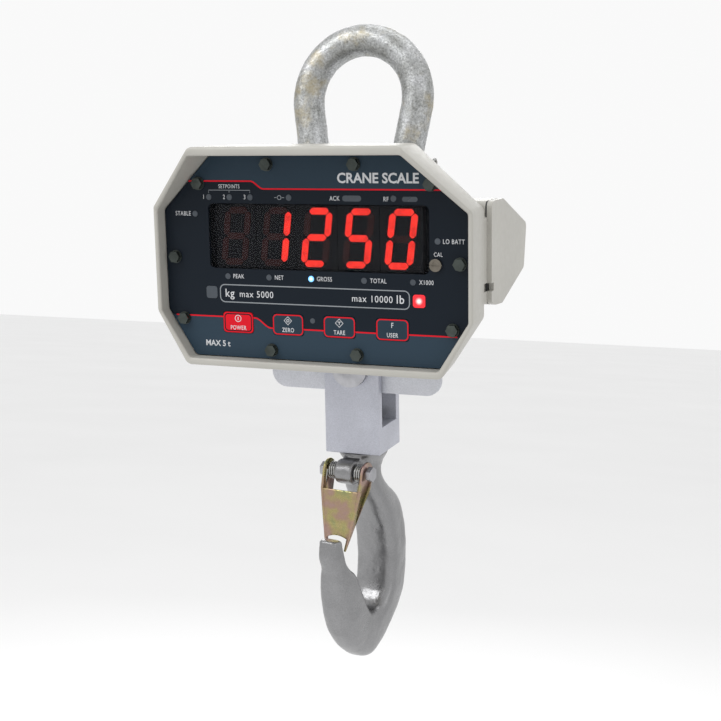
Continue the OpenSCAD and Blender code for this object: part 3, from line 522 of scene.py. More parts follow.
def lathe(profile, centre=(0, 0, 0), axis="z", sides=64):
    """Turns a profile of (radius, height) round an axis; both ends close on it."""
    rings = []
    for radius, height in profile:
        ring = []
        for i in range(sides):
            a = math.tau * i / sides
            u, v = radius * math.cos(a), radius * math.sin(a)
            flat = {"z": (u, v, height), "x": (height, u, v), "y": (v, height, u)}[axis]
            ring.append(tuple(c + f for c, f in zip(centre, flat)))
        rings.append(ring)
    return loft(rings)


def sweep(path, radius, sides=24, closed=False):
    """A round bar along a path of points; radius is a number or one for each point."""
    points = [Vector(p) for p in path]
    count = len(points)
    rings = []
    side = None
    for i, here in enumerate(points):
        before = points[i - 1] if closed or i else here
        after = points[(i + 1) % count] if closed or i < count - 1 else here
        along = (after - before).normalized()
        if side is None:
            guess = Vector((0, 1, 0)) if abs(along.y) < 0.9 else Vector((0, 0, 1))
            side = along.cross(guess).normalized()
        side = (side - along * side.dot(along)).normalized()
        up = along.cross(side)
        r = radius[i] if isinstance(radius, (list, tuple)) else radius
        rings.append([here + (side * math.cos(math.tau * k / sides)
                              + up * math.sin(math.tau * k / sides)) * r for k in range(sides)])
    return loft(rings, ring_loop=closed)


def settle(piece):
    """Applies a piece's modifiers to its mesh."""
    evaluated = piece.evaluated_get(bpy.context.evaluated_depsgraph_get())
    mesh = bpy.data.meshes.new_from_object(evaluated)
    piece.modifiers.clear()
    piece.data = mesh
    return piece


def fused(name, parts, place, voxel, passes):
    """Overlapping closed parts melted into one skin with blended joints, as forged."""
    piece = build(name, *merged(*parts), place)
    remesh = piece.modifiers.new("skin", "REMESH")
    remesh.mode = "VOXEL"
    remesh.voxel_size = voxel * MM
    smooth = piece.modifiers.new("blend", "SMOOTH")
    smooth.factor = 0.5
    smooth.iterations = passes
    settle(piece)
    piece.data.shade_smooth()
    return piece


def roughen(piece, size, height):
    """Moves the surface in and out by up to height millimetres, as forging leaves it."""
    scale = 1 / (size * MM)
    normals = [v.normal.copy() for v in piece.data.vertices]
    for vertex, normal in zip(piece.data.vertices, normals):
        vertex.co += normal * noise.noise(vertex.co * scale) * height * MM
    piece.data.update()


def cut(piece, points, faces, place):
    """Cuts a closed shape out of a piece."""
    tool = build("cutter", points, faces, place)
    boolean = piece.modifiers.new("cut", "BOOLEAN")
    boolean.operation = "DIFFERENCE"
    boolean.object = tool
    settle(piece)
    bpy.data.objects.remove(tool)
    shade(piece, 40)


def soften(node, width, segments=3, crease=30):
    """Rounds a CAD node's sharp edges by width millimetres, without changing its mesh."""
    piece = frame["nodes"][node]
    weld = piece.modifiers.new("weld", "WELD")
    weld.merge_threshold = 1e-6
    bevel = piece.modifiers.new("bevel", "BEVEL")
    bevel.width = width * MM
    bevel.segments = segments
    bevel.limit_method = "ANGLE"
    bevel.angle_limit = math.radians(crease)
    bevel.use_clamp_overlap = True
    bevel.harden_normals = True


# ------------------------------------------------------------------ outlines

def bisect(p, a, b):
    return ((a - p).normalized() + (b - p).normalized()).normalized()


def half_angle(p, a, b):
    return (a - p).angle(b - p) / 2


def neighbours(points):
    count = len(points)
    return [(points[i], points[i - 1], points[(i + 1) % count]) for i in range(count)]


def inset(points, d):
    """A convex outline moved inwards by d."""
    return [p + bisect(p, a, b) * d / math.sin(half_angle(p, a, b))
            for p, a, b in neighbours(points)]


def rounded(points, r, steps=8):
    """An outline with its corners rounded to radius r."""
    made = []
    for p, a, b in neighbours(points):
        h = half_angle(p, a, b)
        centre = p + bisect(p, a, b) * r / math.sin(h)
        v1 = p + (a - p).normalized() * r / math.tan(h) - centre
        v2 = p + (b - p).normalized() * r / math.tan(h) - centre
        sweep_angle = math.pi - 2 * h
        for i in range(steps + 1):
            t = i / steps
            made.append(centre + (v1 * math.sin((1 - t) * sweep_angle)
                                  + v2 * math.sin(t * sweep_angle)) / math.sin(sweep_angle))
    return made


def mirrored(half):
    return [Vector(p) for p in half] + [Vector((-x, z)) for x, z in reversed(half)]


def rect(width, height):
    w, h = width / 2, height / 2
    return [Vector(p) for p in ((-w, -h), (w, -h), (w, h), (-w, h))]


def shifted(points, x, z):
    return [p + Vector((x, z)) for p in points]


def ring_xz(outline, y):
    return [(p.x, y, p.y) for p in outline]


# ------------------------------------------------------------------ shackle

BAR_R = 12.7
BOW_R = 34 + BAR_R
BOW_Z = 76
EAR_X = 34.5
EAR_R = 31
EAR_T = 26


def ease(t):
    return t * t * (3 - 2 * t)


def bow_path():
    """The bow's centreline from the left ear up and over to the right one."""
    flare = math.asin((BOW_R - EAR_X) / BOW_Z) * 1.02
    arc = [Vector((BOW_R * math.cos(a), 0, BOW_Z + BOW_R * math.sin(a)))
           for a in (math.pi + flare - (math.pi + 2 * flare) * i / 72 for i in range(73))]
    foot = Vector((-EAR_X, 0, 0))
    leg = [foot.lerp(arc[0], i / 20) for i in range(20)]
    return leg + arc + [Vector((-p.x, 0, p.z)) for p in reversed(leg)]


def make_shackle():
    path = bow_path()
    swell = [BAR_R + 1.7 * ease(max(0.0, min(1.0, (46 - p.z) / 46))) for p in path]
    bow = sweep(path, swell, sides=40)
    half = EAR_T / 2
    profile = [(0.1, -half), (EAR_R - 9, -half), (EAR_R - 3.5, -half + 0.8), (EAR_R - 1, -half + 3),
               (EAR_R, -half + 6), (EAR_R, half - 6), (EAR_R - 1, half - 3),
               (EAR_R - 3.5, half - 0.8), (EAR_R - 9, half), (0.1, half)]
    ears = [lathe(profile, (side * EAR_X, 0, 0), "x") for side in (-1, 1)]
    piece = fused("bow_forging", [bow, *ears], UPRIGHT, 1.3, 6)
    roughen(piece, 7, 0.22)
    roughen(piece, 2.6, 0.10)
    bore = 14.9
    cut(piece, *lathe([(0.01, -80), (bore, -80), (bore, 80), (0.01, 80)], axis="x"), UPRIGHT)
    face, spot = EAR_X + EAR_T / 2, 25.75
    for side in (-1, 1):
        ends = (side * face, side * (face + 13))
        cut(piece, *lathe([(0.01, ends[0]), (spot, ends[0]), (spot, ends[1]), (0.01, ends[1])],
                          axis="x"), UPRIGHT)
    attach(piece, "shackle")
    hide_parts("shackle")
    coat(piece, "galvanised_steel")


# ------------------------------------------------------------------ housing

# Half outlines of the front casting, (x, z) from the top round to the bottom
RIM_HALF = [(81.7, 42.5), (127.49, -4), (127.49, -83), (103.5, -124.5)]
BACK_HALF = [(71.5, 42.5), (124, -4.5), (124, -84), (99, -122.5)]
RECESS_HALF = [(82.7, 36), (123.8, -5.6), (123.8, -83), (101, -119)]
RIM_CORNER, RECESS_CORNER = 7, 4
VISOR_LOW_Z, VISOR_SLOPE, VISOR_MOST = -5.6, 0.577, 24
LIP_ROUND = 1.8
LEDGE_INSET = 11
WALL = 3.5


def make_housing():
    """The front casting: flared sides, a visor over the panel and the recess behind it."""
    low, high = extent("front_housing", LINE)
    back = high.y
    ledge = extent("panel_gasket", LINE)[1].y
    rim_y = low.y + VISOR_MOST

    def front(z):
        return rim_y - min(VISOR_MOST, VISOR_SLOPE * max(0.0, z - VISOR_LOW_Z))

    def flat(half, d, corner, y):
        return ring_xz(rounded(inset(mirrored(half), d), corner, 10), y)

    rim = rounded(mirrored(RIM_HALF), RIM_CORNER, 10)
    recess = rounded(mirrored(RECESS_HALF), RECESS_CORNER, 10)
    rings = [flat(BACK_HALF, 1.0, 6, back), flat(BACK_HALF, 0.3, 6.7, back - 0.4),
             flat(BACK_HALF, 0, 7, back - 1.5)]
    for i in range(17):
        a = math.pi * i / 16
        lip = [p.lerp(q, (1 - math.cos(a)) / 2) for p, q in zip(rim, recess)]
        rings.append([(p.x, front(p.y) + LIP_ROUND * (1 - math.sin(a)), p.y) for p in lip])
    rings += [ring_xz(recess, ledge), flat(RECESS_HALF, LEDGE_INSET, 3, ledge),
              flat(RECESS_HALF, LEDGE_INSET, 3, ledge + 4), flat(BACK_HALF, WALL, 5, ledge + 4),
              flat(BACK_HALF, WALL, 5, back - 4)]
    piece = build("housing_casting", *loft(rings), LINE, 36)
    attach(piece, "scale")
    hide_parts("front_housing")
    coat(piece, "housing_paint")


# ------------------------------------------------------------------ panel print

# Thickness of the words and lines, of a key's printed field and of its outline
PRINT_T = 0.08
FIELD_T = 0.03
OUTLINE_T = 0.06
LINE_W = 1.1
TOP_ENDS = (-101.4, 107.0)
LOW_ENDS = (-116.9, 112.6)


def slab(outlines, y, thick=PRINT_T):
    """Thin closed plates from [x, z] outlines, standing proud of y by thick."""
    return merged(*[loft([ring_xz(o, y), ring_xz(o, y - thick)]) for o in outlines])


def strip(path, width, closed=False):
    """The [x, z] cross pieces of a printed line, as four-cornered outlines end to end."""
    points = [Vector(p) for p in path]
    count = len(points)
    sides = []
    for i, here in enumerate(points):
        before = points[i - 1] if closed or i else here
        after = points[(i + 1) % count] if closed or i < count - 1 else here
        along = (after - before).normalized()
        across = Vector((-along.y, along.x)) * width / 2
        sides.append((here + across, here - across))
    return sides


def line_print(path, width, y, closed=False, thick=PRINT_T):
    """A printed line as one closed ribbon."""
    rings = [[(a.x, y, a.y), (b.x, y, b.y), (b.x, y - thick, b.y), (a.x, y - thick, a.y)]
             for a, b in strip(path, width, closed)]
    return loft(rings, ring_loop=closed)


def step_line(line, x_left, x_right):
    """A level line that steps down in a smooth S between two points."""
    (x0, z0), (x1, z1) = line
    bend = [(x0 + (x1 - x0) * i / 12, z0 + (z1 - z0) * ease(i / 12)) for i in range(13)]
    return [(x_left, z0)] + bend + [(x_right, z1)]


def disc(x, z, r, sides=28):
    return [Vector((x + r * math.cos(math.tau * i / sides), z + r * math.sin(math.tau * i / sides)))
            for i in range(sides)]


def lettering(words, y):
    """Plain generic words as thin raised print: (text, x, z, height, stretch, align, bold)."""
    parts = []
    for text, x, z, height, stretch, align, bold in words:
        curve = bpy.data.curves.new("word", "FONT")
        curve.body = text
        curve.align_x = align
        curve.align_y = "CENTER"
        curve.size = height * 1.37
        curve.extrude = PRINT_T / 2
        curve.offset = bold
        curve.space_character = 1.0 if bold > 0.1 else 1.12
        curve.resolution_u = 3
        word = bpy.data.objects.new("word", curve)
        bpy.context.scene.collection.objects.link(word)
        mesh = bpy.data.meshes.new_from_object(
            word.evaluated_get(bpy.context.evaluated_depsgraph_get()))
        points = [(v.co.x * stretch + x, y - PRINT_T / 2 - v.co.z, v.co.y + z)
                  for v in mesh.vertices]
        parts.append((points, [tuple(p.vertices) for p in mesh.polygons]))
        bpy.data.objects.remove(word)
        bpy.data.meshes.remove(mesh)
    return merged(*parts)


def printed(name, parts, shader, body, slot):
    piece = build(name, *merged(*parts), LINE, 20)
    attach(piece, body)
    coat(piece, slot, shader)
    return piece


LAMP_ROW_Z = -56
KEY_Z = -91.4
KEY_X = [-63, -21, 21, 63]
# Width and height of the outline printed on each key
KEY_W, KEY_H = 24.2, 14.8
SLIM = 0.78


def panel_words():
    """Generic words beside the lamps, as (text, x, z, height, stretch, align, bold)."""
    small = [("STABLE", -100.5, -8.8, 3.3, "RIGHT"), ("1", -88, 4, 3.3, "RIGHT"),
             ("2", -70.6, 4, 3.3, "RIGHT"), ("3", -53.2, 4, 3.3, "RIGHT"),
             ("SETPOINTS", -67, 11.9, 2.9, "CENTER"), ("ACK", 23.2, 3.6, 3.3, "RIGHT"),
             ("RF", 61.4, 3.4, 3.3, "RIGHT"), ("LO BATT", 102, -26.2, 3.3, "LEFT"),
             ("CAL", 98.5, -35.6, 3.0, "CENTER"), ("PEAK", -66.2, LAMP_ROW_Z, 3.3, "LEFT"),
             ("NET", -31.2, LAMP_ROW_Z, 3.3, "LEFT"), ("GROSS", 3.4, LAMP_ROW_Z, 3.3, "LEFT"),
             ("TOTAL", 46, LAMP_ROW_Z, 3.3, "LEFT"), ("X1000", 84, LAMP_ROW_Z, 3.3, "LEFT")]
    words = [(t, x, z, h * 1.06, SLIM, align, 0.0) for t, x, z, h, align in small]
    words += [("kg", -73.6, -69.2, 6.4, 0.95, "LEFT", 0.05),
              ("max 5000", -61.4, -69.5, 5.2, 0.92, "LEFT", 0.0),
              ("lb", 72.6, -69.2, 6.4, 0.95, "RIGHT", 0.05),
              ("max 10000", 63.6, -69.5, 5.2, 0.92, "RIGHT", 0.0),
              ("MAX 5 t", -92, -108.6, 4.6, 0.95, "LEFT", 0.12)]
    return words


def make_panel_print():
    y = extent("front_panel", LINE)[0].y
    white = [lettering(panel_words(), y),
             lettering([("CRANE SCALE", 84.5, 18.2, 7.4, 0.98, "RIGHT", 0.26)], y)]
    grey = [line_print(rounded(shifted(rect(154, 13.3), -0.6, -69.2), 4), 0.8, y, closed=True)]
    bracket = [(-84.4, 7.2), (-84.4, 9.2), (-49.6, 9.2), (-49.6, 7.2)]
    grey.append(line_print(bracket, 0.4, y))
    grey.append(line_print([(-67, 9.2), (-67, 7.4)], 0.4, y))
    zero = disc(-25.4, 4, 1.5)
    grey.append(line_print(zero, 0.45, y, closed=True))
    for side in (-1, 1):
        grey.append(line_print([(-25.4 + side * 2.2, 4), (-25.4 + side * 4, 4)], 0.45, y))
    red = [line_print(step_line(TOP_LINE, *TOP_ENDS), LINE_W, y)]
    key_left = KEY_X[0] - KEY_W / 2
    red.append(line_print([(LOW_ENDS[0], LOW_LINE[0][1]), (key_left, LOW_LINE[0][1])], LINE_W, y))
    low = step_line(LOW_LINE, KEY_X[0] + KEY_W / 2, KEY_X[1] - KEY_W / 2)
    red.append(line_print(low, LINE_W, y))
    for a, b in zip(KEY_X[1:], KEY_X[2:] + [LOW_ENDS[1] + KEY_W / 2]):
        ends = [(a + KEY_W / 2, LOW_LINE[1][1]), (b - KEY_W / 2, LOW_LINE[1][1])]
        red.append(line_print(ends, LINE_W, y))
    ovals = [rounded(shifted(rect(14.8, 4.3), 32.7, 3.8), 2.1),
             rounded(shifted(rect(11.7, 3.6), 77.5, 3.6), 1.75), disc(-0.8, -87.6, 2.0)]
    printed("print_white", white, WHITE_INK, "scale", "panel_print")
    printed("print_grey", grey, GREY_INK, "scale", "panel_print")
    printed("print_red", red, RED_INK, "scale", "panel_print")
    printed("print_lamps", [slab(ovals, y)], MATERIALS["lamp_grey"], "scale", "lamp_grey")


def key_marks(name, x, y):
    """The generic sign and word on one key."""
    word_z = KEY_Z - 4.2
    sign_z = KEY_Z + 3.1
    if name == "key_power":
        signs = [line_print(disc(x, sign_z, 2.5), 0.55, y, closed=True),
                 line_print([(x, sign_z - 1.2), (x, sign_z + 1.2)], 0.7, y)]
        return signs + [lettering([("POWER", x, word_z, 3.4, SLIM, "CENTER", 0.04)], y)]
    if name == "key_user":
        return [lettering([("F", x, sign_z, 4.0, SLIM, "CENTER", 0.04),
                           ("USER", x, word_z, 3.4, SLIM, "CENTER", 0.04)], y)]
    reach = 3.1
    diamond = [Vector((x, sign_z - reach)), Vector((x + reach, sign_z)),
               Vector((x, sign_z + reach)), Vector((x - reach, sign_z))]
    signs = [line_print(diamond, 0.55, y, closed=True)]
    if name == "key_zero":
        signs.append(line_print(disc(x, sign_z, 1.0), 0.5, y, closed=True))
        word = "ZERO"
    else:
        signs.append(line_print([(x - 1.2, sign_z + 0.9), (x + 1.2, sign_z + 0.9)], 0.5, y))
        signs.append(line_print([(x, sign_z + 0.9), (x, sign_z - 1.3)], 0.5, y))
        word = "TARE"
    return signs + [lettering([(word, x, word_z, 3.4, SLIM, "CENTER", 0.04)], y)]


def make_key_prints():
    """On each key a printed field, a red outline round it, its sign and its word."""
    for name, x in zip(("key_power", "key_zero", "key_tare", "key_user"), KEY_X):
        face = extent(name, LINE)[0].y
        power = name == "key_power"
        slot = "key_red" if power else "key_dark"
        edge = rounded(shifted(rect(KEY_W, KEY_H), x, KEY_Z), 3.2)
        field = [slab([edge], face, FIELD_T)]
        printed(name + "_field", field, GAP_INK if power else SLATE_INK, name, slot)
        outline = [line_print(edge, 0.9, face, closed=True, thick=OUTLINE_T)]
        if power:
            middle = rounded(shifted(rect(KEY_W - 2.6, KEY_H - 2.6), x, KEY_Z), 2.2)
            outline.append(slab([middle], face, OUTLINE_T))
        printed(name + "_outline", outline, RED_INK, name, slot)
        printed(name + "_print", key_marks(name, x, face), WHITE_INK, name, slot)


# ------------------------------------------------------------------ hook

# Stations from the neck round to the tip: inner edge (u, z), outer edge (u, z), width across,
# boxiness of the section from 0, round, to 1, square
HOOK_STATIONS = [
    ((14.5, -219), (-14.5, -219), 29, 0.2),
    ((15, -232), (-16, -234), 29, 0.2),
    ((9, -247), (-25, -245), 31, 0.3),
    ((-1, -262), (-41, -259), 33, 0.5),
    ((-9, -280), (-49, -277), 35, 0.65),
    ((-13, -300), (-52.3, -300), 36, 0.7),
    ((-12.5, -320), (-51, -325), 36, 0.65),
    ((-8, -336), (-43, -349), 36, 0.6),
    ((2, -346), (-20, -372.5), 34, 0.5),
    ((12, -345), (8, -388.4), 32, 0.45),
    ((20, -337), (31, -378), 31, 0.45),
    ((28, -322), (49, -358), 30, 0.55),
    ((36, -306), (58.5, -331), 27.5, 0.65),
    ((43, -300), (61, -310), 24, 0.7),
    ((49, -292), (60.5, -299), 20, 0.75),
    ((52, -281), (65, -288), 19, 0.8),
    ((53, -274), (64, -273.5), 18, 0.8)]
HOOK_STEPS = 6
HOOK_SIDES = 48
TIP_ROUND = 2.0
HOOK_TAPER = 0.15
COLLAR_GAP = 0.6


def blend4(p0, p1, p2, p3, t):
    """A smooth value through four, at t from 0 to 1 between the middle two."""
    return (2 * p1 + (p2 - p0) * t + (2 * p0 - 5 * p1 + 4 * p2 - p3) * t * t
            + (3 * p1 - p0 - 3 * p2 + p3) * t ** 3) / 2


def hook_ring(inner, outer, width, boxy):
    """One section: fuller on its inner side, with flatter cheeks the boxier it is."""
    power = 0.86 - 0.42 * boxy
    centre = (inner + outer) / 2
    half = (outer - inner) / 2
    ring = []
    for i in range(HOOK_SIDES):
        a = math.tau * i / HOOK_SIDES
        s = math.copysign(abs(math.sin(a)) ** power, math.sin(a))
        k = math.copysign(abs(math.cos(a)) ** power, math.cos(a))
        edge = centre + half * k
        across = s * width / 2 * (1 - HOOK_TAPER * k)
        ring.append((across, -edge.x, edge.y))
    return ring


def hook_loft():
    last = len(HOOK_STATIONS) - 1

    def station(i):
        inner, outer, width, boxy = HOOK_STATIONS[max(0, min(last, i))]
        return Vector(inner), Vector(outer), width, boxy

    rings = []
    for i in range(last):
        around = [station(i + k) for k in (-1, 0, 1, 2)]
        for j in range(HOOK_STEPS):
            values = [blend4(*[s[part] for s in around], j / HOOK_STEPS) for part in range(4)]
            rings.append(hook_ring(*values))
    inner, outer, width, boxy = station(last)
    centre = (inner + outer) / 2
    half = (outer - inner) / 2
    for angle in (0, 20, 40, 60, 78):
        a = math.radians(angle)
        keep = 1 - (1 - math.cos(a)) * 0.5
        up = Vector((0.05, 1)) * TIP_ROUND * math.sin(a)
        rings.append(hook_ring(centre - half * keep + up, centre + half * keep + up,
                               width * keep, boxy))
    return loft(rings)


def make_hook():
    shank_top = extent("hook", LINE)[1].z
    race_z = extent("bearing_lower_race", LINE)[0].z
    collar_z = extent("hook_block", LINE)[0].z - COLLAR_GAP
    collar = lathe([(0.1, collar_z), (19.6, collar_z), (20.4, collar_z - 0.8),
                    (20.4, collar_z - 2.8), (18.4, collar_z - 6), (16.2, collar_z - 9.5),
                    (15.0, collar_z - 14), (0.1, collar_z - 16)], axis="z")
    boss_r, boss_half = 10, 8
    pivot = HOOK.inverted() @ LATCH_PIVOT
    boss = lathe([(0.1, -boss_half), (boss_r - 0.8, -boss_half), (boss_r, -boss_half + 0.8),
                  (boss_r, boss_half - 0.8), (boss_r - 0.8, boss_half), (0.1, boss_half)],
                 tuple(pivot), "x", 48)
    web = []
    for y, half_height in ((pivot.y, 9.2), (pivot.y + 12, 9.6), (pivot.y + 24, 12)):
        web.append([(s * boss_half, y, pivot.z + t * half_height)
                    for s, t in ((-1, -1), (1, -1), (1, 1), (-1, 1))])
    piece = fused("hook_forging", [hook_loft(), collar, boss, loft(web)], HOOK, 1.1, 5)
    roughen(piece, 11, 0.35)
    roughen(piece, 3.5, 0.10)
    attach(piece, "hook")
    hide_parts("hook")
    coat(piece, "forged_paint")
    shank_r, thread_r, thread_depth, pitch = 11.94, 10, 0.55, 1.25
    shank = [(0.1, collar_z - 3), (shank_r, collar_z - 3), (shank_r, race_z - 3.4),
             (shank_r - 1.2, race_z - 2.2), (thread_r, race_z - 2)]
    turns = int((shank_top - 1.5 - race_z) / pitch)
    for i in range(turns):
        z = race_z + i * pitch
        shank += [(thread_r, z + 0.1), (thread_r - thread_depth, z + pitch / 2),
                  (thread_r, z + pitch - 0.1)]
    shank += [(thread_r - 1.2, shank_top), (0.1, shank_top)]
    rod = build("hook_shank", *lathe(shank, axis="z", sides=48), LINE, 30)
    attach(rod, "hook")
    coat(rod, "forged_paint", MATERIALS["load_cell_steel"])


# ------------------------------------------------------------------ latch

SHEET = 2.0
LATCH_HALF = 18.5
FOOT_HALF = 9.5
EAR_ROUND = 9.5
PLATE_TOP = -15.0
FOOT = -64.0
FRONT = -10.0


def latch_half_at(z):
    """Half width of the latch at height z below its pivot."""
    t = max(0.0, min(1.0, (PLATE_TOP - z) / (PLATE_TOP - FOOT)))
    return LATCH_HALF + (FOOT_HALF - LATCH_HALF) * t


def flange(side):
    """One side of the latch: round ear over a tapering rail that ends in a point."""
    outline = [(EAR_ROUND * math.cos(a), EAR_ROUND * math.sin(a))
               for a in (math.radians(180 - 205 * i / 22) for i in range(23))]
    outline += [(8.2, -12), (5.8, -16), (3.2, -24), (0.4, -34), (-2.4, -44), (-4.6, -54),
                (-6.2, -61), (-7.0, FOOT), (-8.0, FOOT), (-8.4, -60), (-9.0, -44),
                (-9.6, -28), (FRONT + 0.2, PLATE_TOP), (FRONT + 0.4, -8)]
    outer = [(side * latch_half_at(z), y, z) for y, z in outline]
    inner = [(side * (latch_half_at(z) - SHEET), y, z) for y, z in outline]
    return loft([outer, inner])


def latch_plate():
    """The front sheet, tapering down to a hollowed foot, with a pressed crease."""
    rows = []
    steps = 30
    low = FOOT + 9
    for i in range(steps + 1):
        t = i / steps
        z = PLATE_TOP + (low - PLATE_TOP) * t
        half = latch_half_at(z)
        row = []
        columns = 20
        for j in range(columns + 1):
            s = -1 + 2 * j / columns
            sag = 3.2 * (1 - s * s) * ease(t) ** 3
            crease = 0.35 * math.exp(-((t - 0.76) / 0.02) ** 2)
            bow = 0.9 * (1 - abs(s) ** 6)
            lean = 1.3 * t
            row.append((s * half, FRONT + 0.9 - bow + lean + crease, z + sag))
        rows.append(row)
    front = [p for row in rows for p in row]
    back = [(x, y + SHEET, z) for x, y, z in front]
    n = len(rows[0])
    count = len(front)
    faces = []
    for r in range(steps):
        for c in range(n - 1):
            a, b = r * n + c, (r + 1) * n + c
            faces.append((a, b, b + 1, a + 1))
            faces.append((count + a, count + a + 1, count + b + 1, count + b))
    edge = ([c for c in range(n)] + [r * n + n - 1 for r in range(1, steps + 1)]
            + [steps * n + c for c in range(n - 2, -1, -1)] + [r * n for r in range(steps - 1, 0, -1)])
    for a, b in zip(edge, edge[1:] + edge[:1]):
        faces.append((a, b, count + b, count + a))
    return front + back, faces


def round_edges(piece, width, segments=3, crease=40):
    """Rounds the sharp edges of a built piece."""
    bevel = piece.modifiers.new("edges", "BEVEL")
    bevel.width = width * MM
    bevel.segments = segments
    bevel.limit_method = "ANGLE"
    bevel.angle_limit = math.radians(crease)
    bevel.harden_normals = True
    settle(piece)
    shade(piece, 50)


def make_latch():
    piece = build("latch_sheet", *merged(flange(-1), flange(1), latch_plate()), LATCH, 35)
    round_edges(piece, 0.5, 2)
    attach(piece, "latch")
    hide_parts("latch")
    coat(piece, "yellow_zinc")


def make_latch_spring():
    """Two torsion coils on the pin, each with a leg down the back of the latch plate."""
    coil_r, wire = 6.4, 0.85
    turns = 3
    parts = []
    for side in (-1, 1):
        start = 8 + 1.2
        coil = [(side * (start + 2.0 * i / 24), coil_r * math.sin(math.tau * i / 24 + math.pi),
                 coil_r * math.cos(math.tau * i / 24 + math.pi)) for i in range(24 * turns + 7)]
        end = Vector(coil[-1])
        leg = [tuple(end + Vector((0, -0.2 * k, -2.5 * k))) for k in range(1, 8)]
        parts.append(sweep(coil + leg, wire, sides=12))
    piece = build("latch_spring_wire", *merged(*parts), LATCH, 60)
    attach(piece, "hook")
    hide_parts("latch_spring")
    coat(piece, "spring_steel")


# ------------------------------------------------------------------ small hardware

def make_cotter():
    """A split pin: eye above, two half-round legs opened a little at the end."""
    low, high = extent("shackle_cotter", UPRIGHT)
    x = (low.x + high.x) / 2
    wire = 1.05
    parts = []
    eye_z = high.z - 5.4
    eye = [(x, 3.6 * math.sin(a), eye_z + 3.6 * math.cos(a))
           for a in (math.radians(-150 + 300 * i / 24) for i in range(25))]
    for side in (-1, 1):
        tail = [(x, side * 0.75, eye_z - 6), (x, side * 0.72, 0), (x, side * 0.75, low.z + 7),
                (x, side * 1.2, low.z + 3.5), (x, side * 1.5, low.z + 1.0)]
        near = eye[-1] if side > 0 else eye[0]
        parts.append(sweep([near] + tail, wire, sides=12))
    parts.append(sweep(eye, wire, sides=12))
    piece = build("cotter_wire", *merged(*parts), UPRIGHT, 60)
    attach(piece, "shackle")
    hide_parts("shackle_cotter")
    coat(piece, "spring_steel")


# Width in millimetres by which each CAD node's sharp edges are rounded
SOFTENED = {
    "shackle_pin": 0.8, "shackle_nut": 0.8, "load_cell": 0.6, "gauge_covers": 0.3,
    "cable_glands": 0.3, "bracket_plate": 0.5, "bracket_bolts": 0.4, "bracket_spacers": 0.3,
    "housing_bolts": 0.3, "housing_nuts": 0.3, "panel_screws": 0.35, "display_window": 0.25,
    "key_power": 0.3, "key_zero": 0.3, "key_tare": 0.3, "key_user": 0.3, "cal_screw": 0.3,
    "status_lamps": 0.2, "gross_lamp": 0.2, "unit_lamp": 0.25, "neck_frame": 0.5,
    "rear_housing": 1.2, "battery_door_left": 0.9, "battery_door_right": 0.9,
    "hook_block": 0.7, "lower_pin": 0.9, "lower_pin_ring": 0.2, "bearing_lower_race": 0.3,
    "bearing_upper_race": 0.3, "hook_nut": 0.6, "latch_pin": 0.35, "latch_nut": 0.35,
}


def finish_nodes():
    slots = {part["node"]: part["material_slot"] for part in frame["record"]["subparts"]}
    for name, piece in frame["nodes"].items():
        if piece.hide_render:
            continue
        coat(piece, slots[name], OVERRIDES.get(name))
        if name in SOFTENED:
            soften(name, SOFTENED[name])


# ------------------------------------------------------------------ camera, light, stage

# Camera place in the scale's own axes, in millimetres, and its aim in degrees
CAMERA_AT = (393.1, -972.1, 67.8)
CAMERA_YAW = 22.08
CAMERA_PITCH = -10.97
CAMERA_ROLL = -1.05
CAMERA_LENS = 64.9
SENSOR = 36


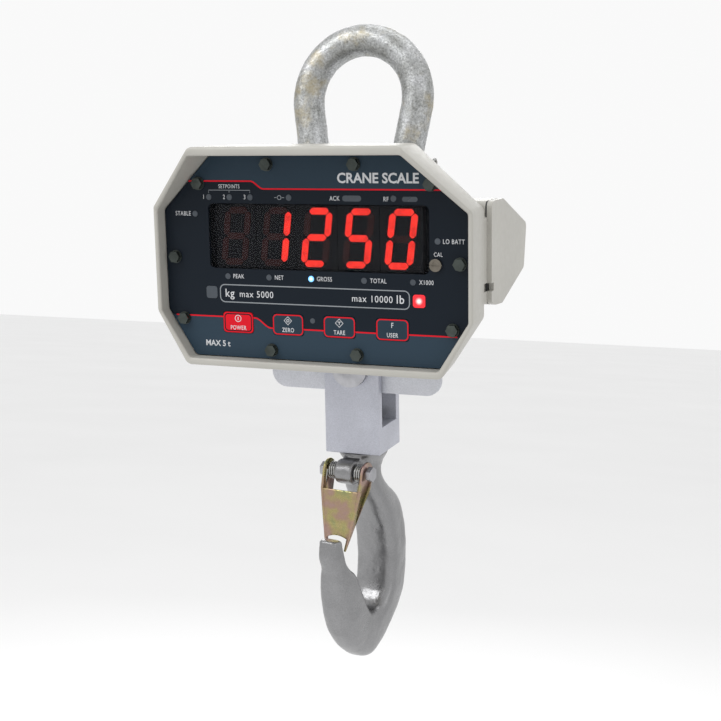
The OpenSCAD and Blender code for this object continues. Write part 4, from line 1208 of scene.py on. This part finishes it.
def make_camera():
    camera = bpy.data.objects.new("camera", bpy.data.cameras.new("camera"))
    bpy.context.scene.collection.objects.link(camera)
    camera.data.lens = CAMERA_LENS
    camera.data.sensor_width = SENSOR
    turn = (Matrix.Rotation(math.radians(CAMERA_YAW), 4, "Z")
            @ Matrix.Rotation(math.radians(90 + CAMERA_PITCH), 4, "X")
            @ Matrix.Rotation(math.radians(CAMERA_ROLL), 4, "Z"))
    line_turn = LINE.to_quaternion().to_matrix().to_4x4()
    camera.matrix_world = Matrix.Translation(LINE @ Vector(CAMERA_AT)) @ line_turn @ turn
    bpy.context.scene.camera = camera


def make_light(name, place, size, power, aim, colour=(1, 1, 1)):
    data = bpy.data.lights.new(name, "AREA")
    data.shape = "RECTANGLE"
    data.size, data.size_y = size
    data.energy = power
    data.color = colour
    lamp = bpy.data.objects.new(name, data)
    bpy.context.scene.collection.objects.link(lamp)
    lamp.location = place
    lamp.rotation_euler = (Vector(aim) - Vector(place)).to_track_quat("-Z", "Y").to_euler()


def make_stage():
    low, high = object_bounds()
    drop = 0.5
    floor = build("floor", [(-30, -30, 0), (30, -30, 0), (30, 30, 0), (-30, 30, 0)],
                  [(0, 1, 2, 3)], Matrix.Translation((0, 0, low.z - drop)))
    paper = Shader("floor_paper", (0.86, 0.86, 0.86), 0.9)
    paper.colour(paper.ramp(paper.noise(900, 2), [(0.3, (0.85, 0.85, 0.85)),
                                                  (0.7, (0.87, 0.87, 0.87))]))
    floor.data.materials.append(paper.material)
    bpy.context.scene.view_settings.view_transform = "Standard"
    world = bpy.data.worlds.new("studio")
    bpy.context.scene.world = world
    world.use_nodes = True
    world.node_tree.nodes["Background"].inputs["Color"].default_value = (1, 1, 1, 1)
    world.node_tree.nodes["Background"].inputs["Strength"].default_value = 0.95
    middle = (low + high) / 2
    make_light("key", middle + Vector((-1.2, -1.5, 1.5)), (1.0, 1.0), 19, middle)
    make_light("fill", middle + Vector((1.9, -0.9, 0.5)), (0.8, 1.6), 2.5, middle)
    make_light("top", middle + Vector((0.1, 0.4, 1.8)), (1.2, 0.8), 6, middle)
    make_light("back", middle + Vector((-0.6, 1.7, 0.7)), (1.0, 1.0), 8, middle)


make_camera()
make_shackle()
make_housing()
make_panel_print()
make_key_prints()
make_hook()
make_latch()
make_latch_spring()
make_cotter()
finish_nodes()
make_stage()
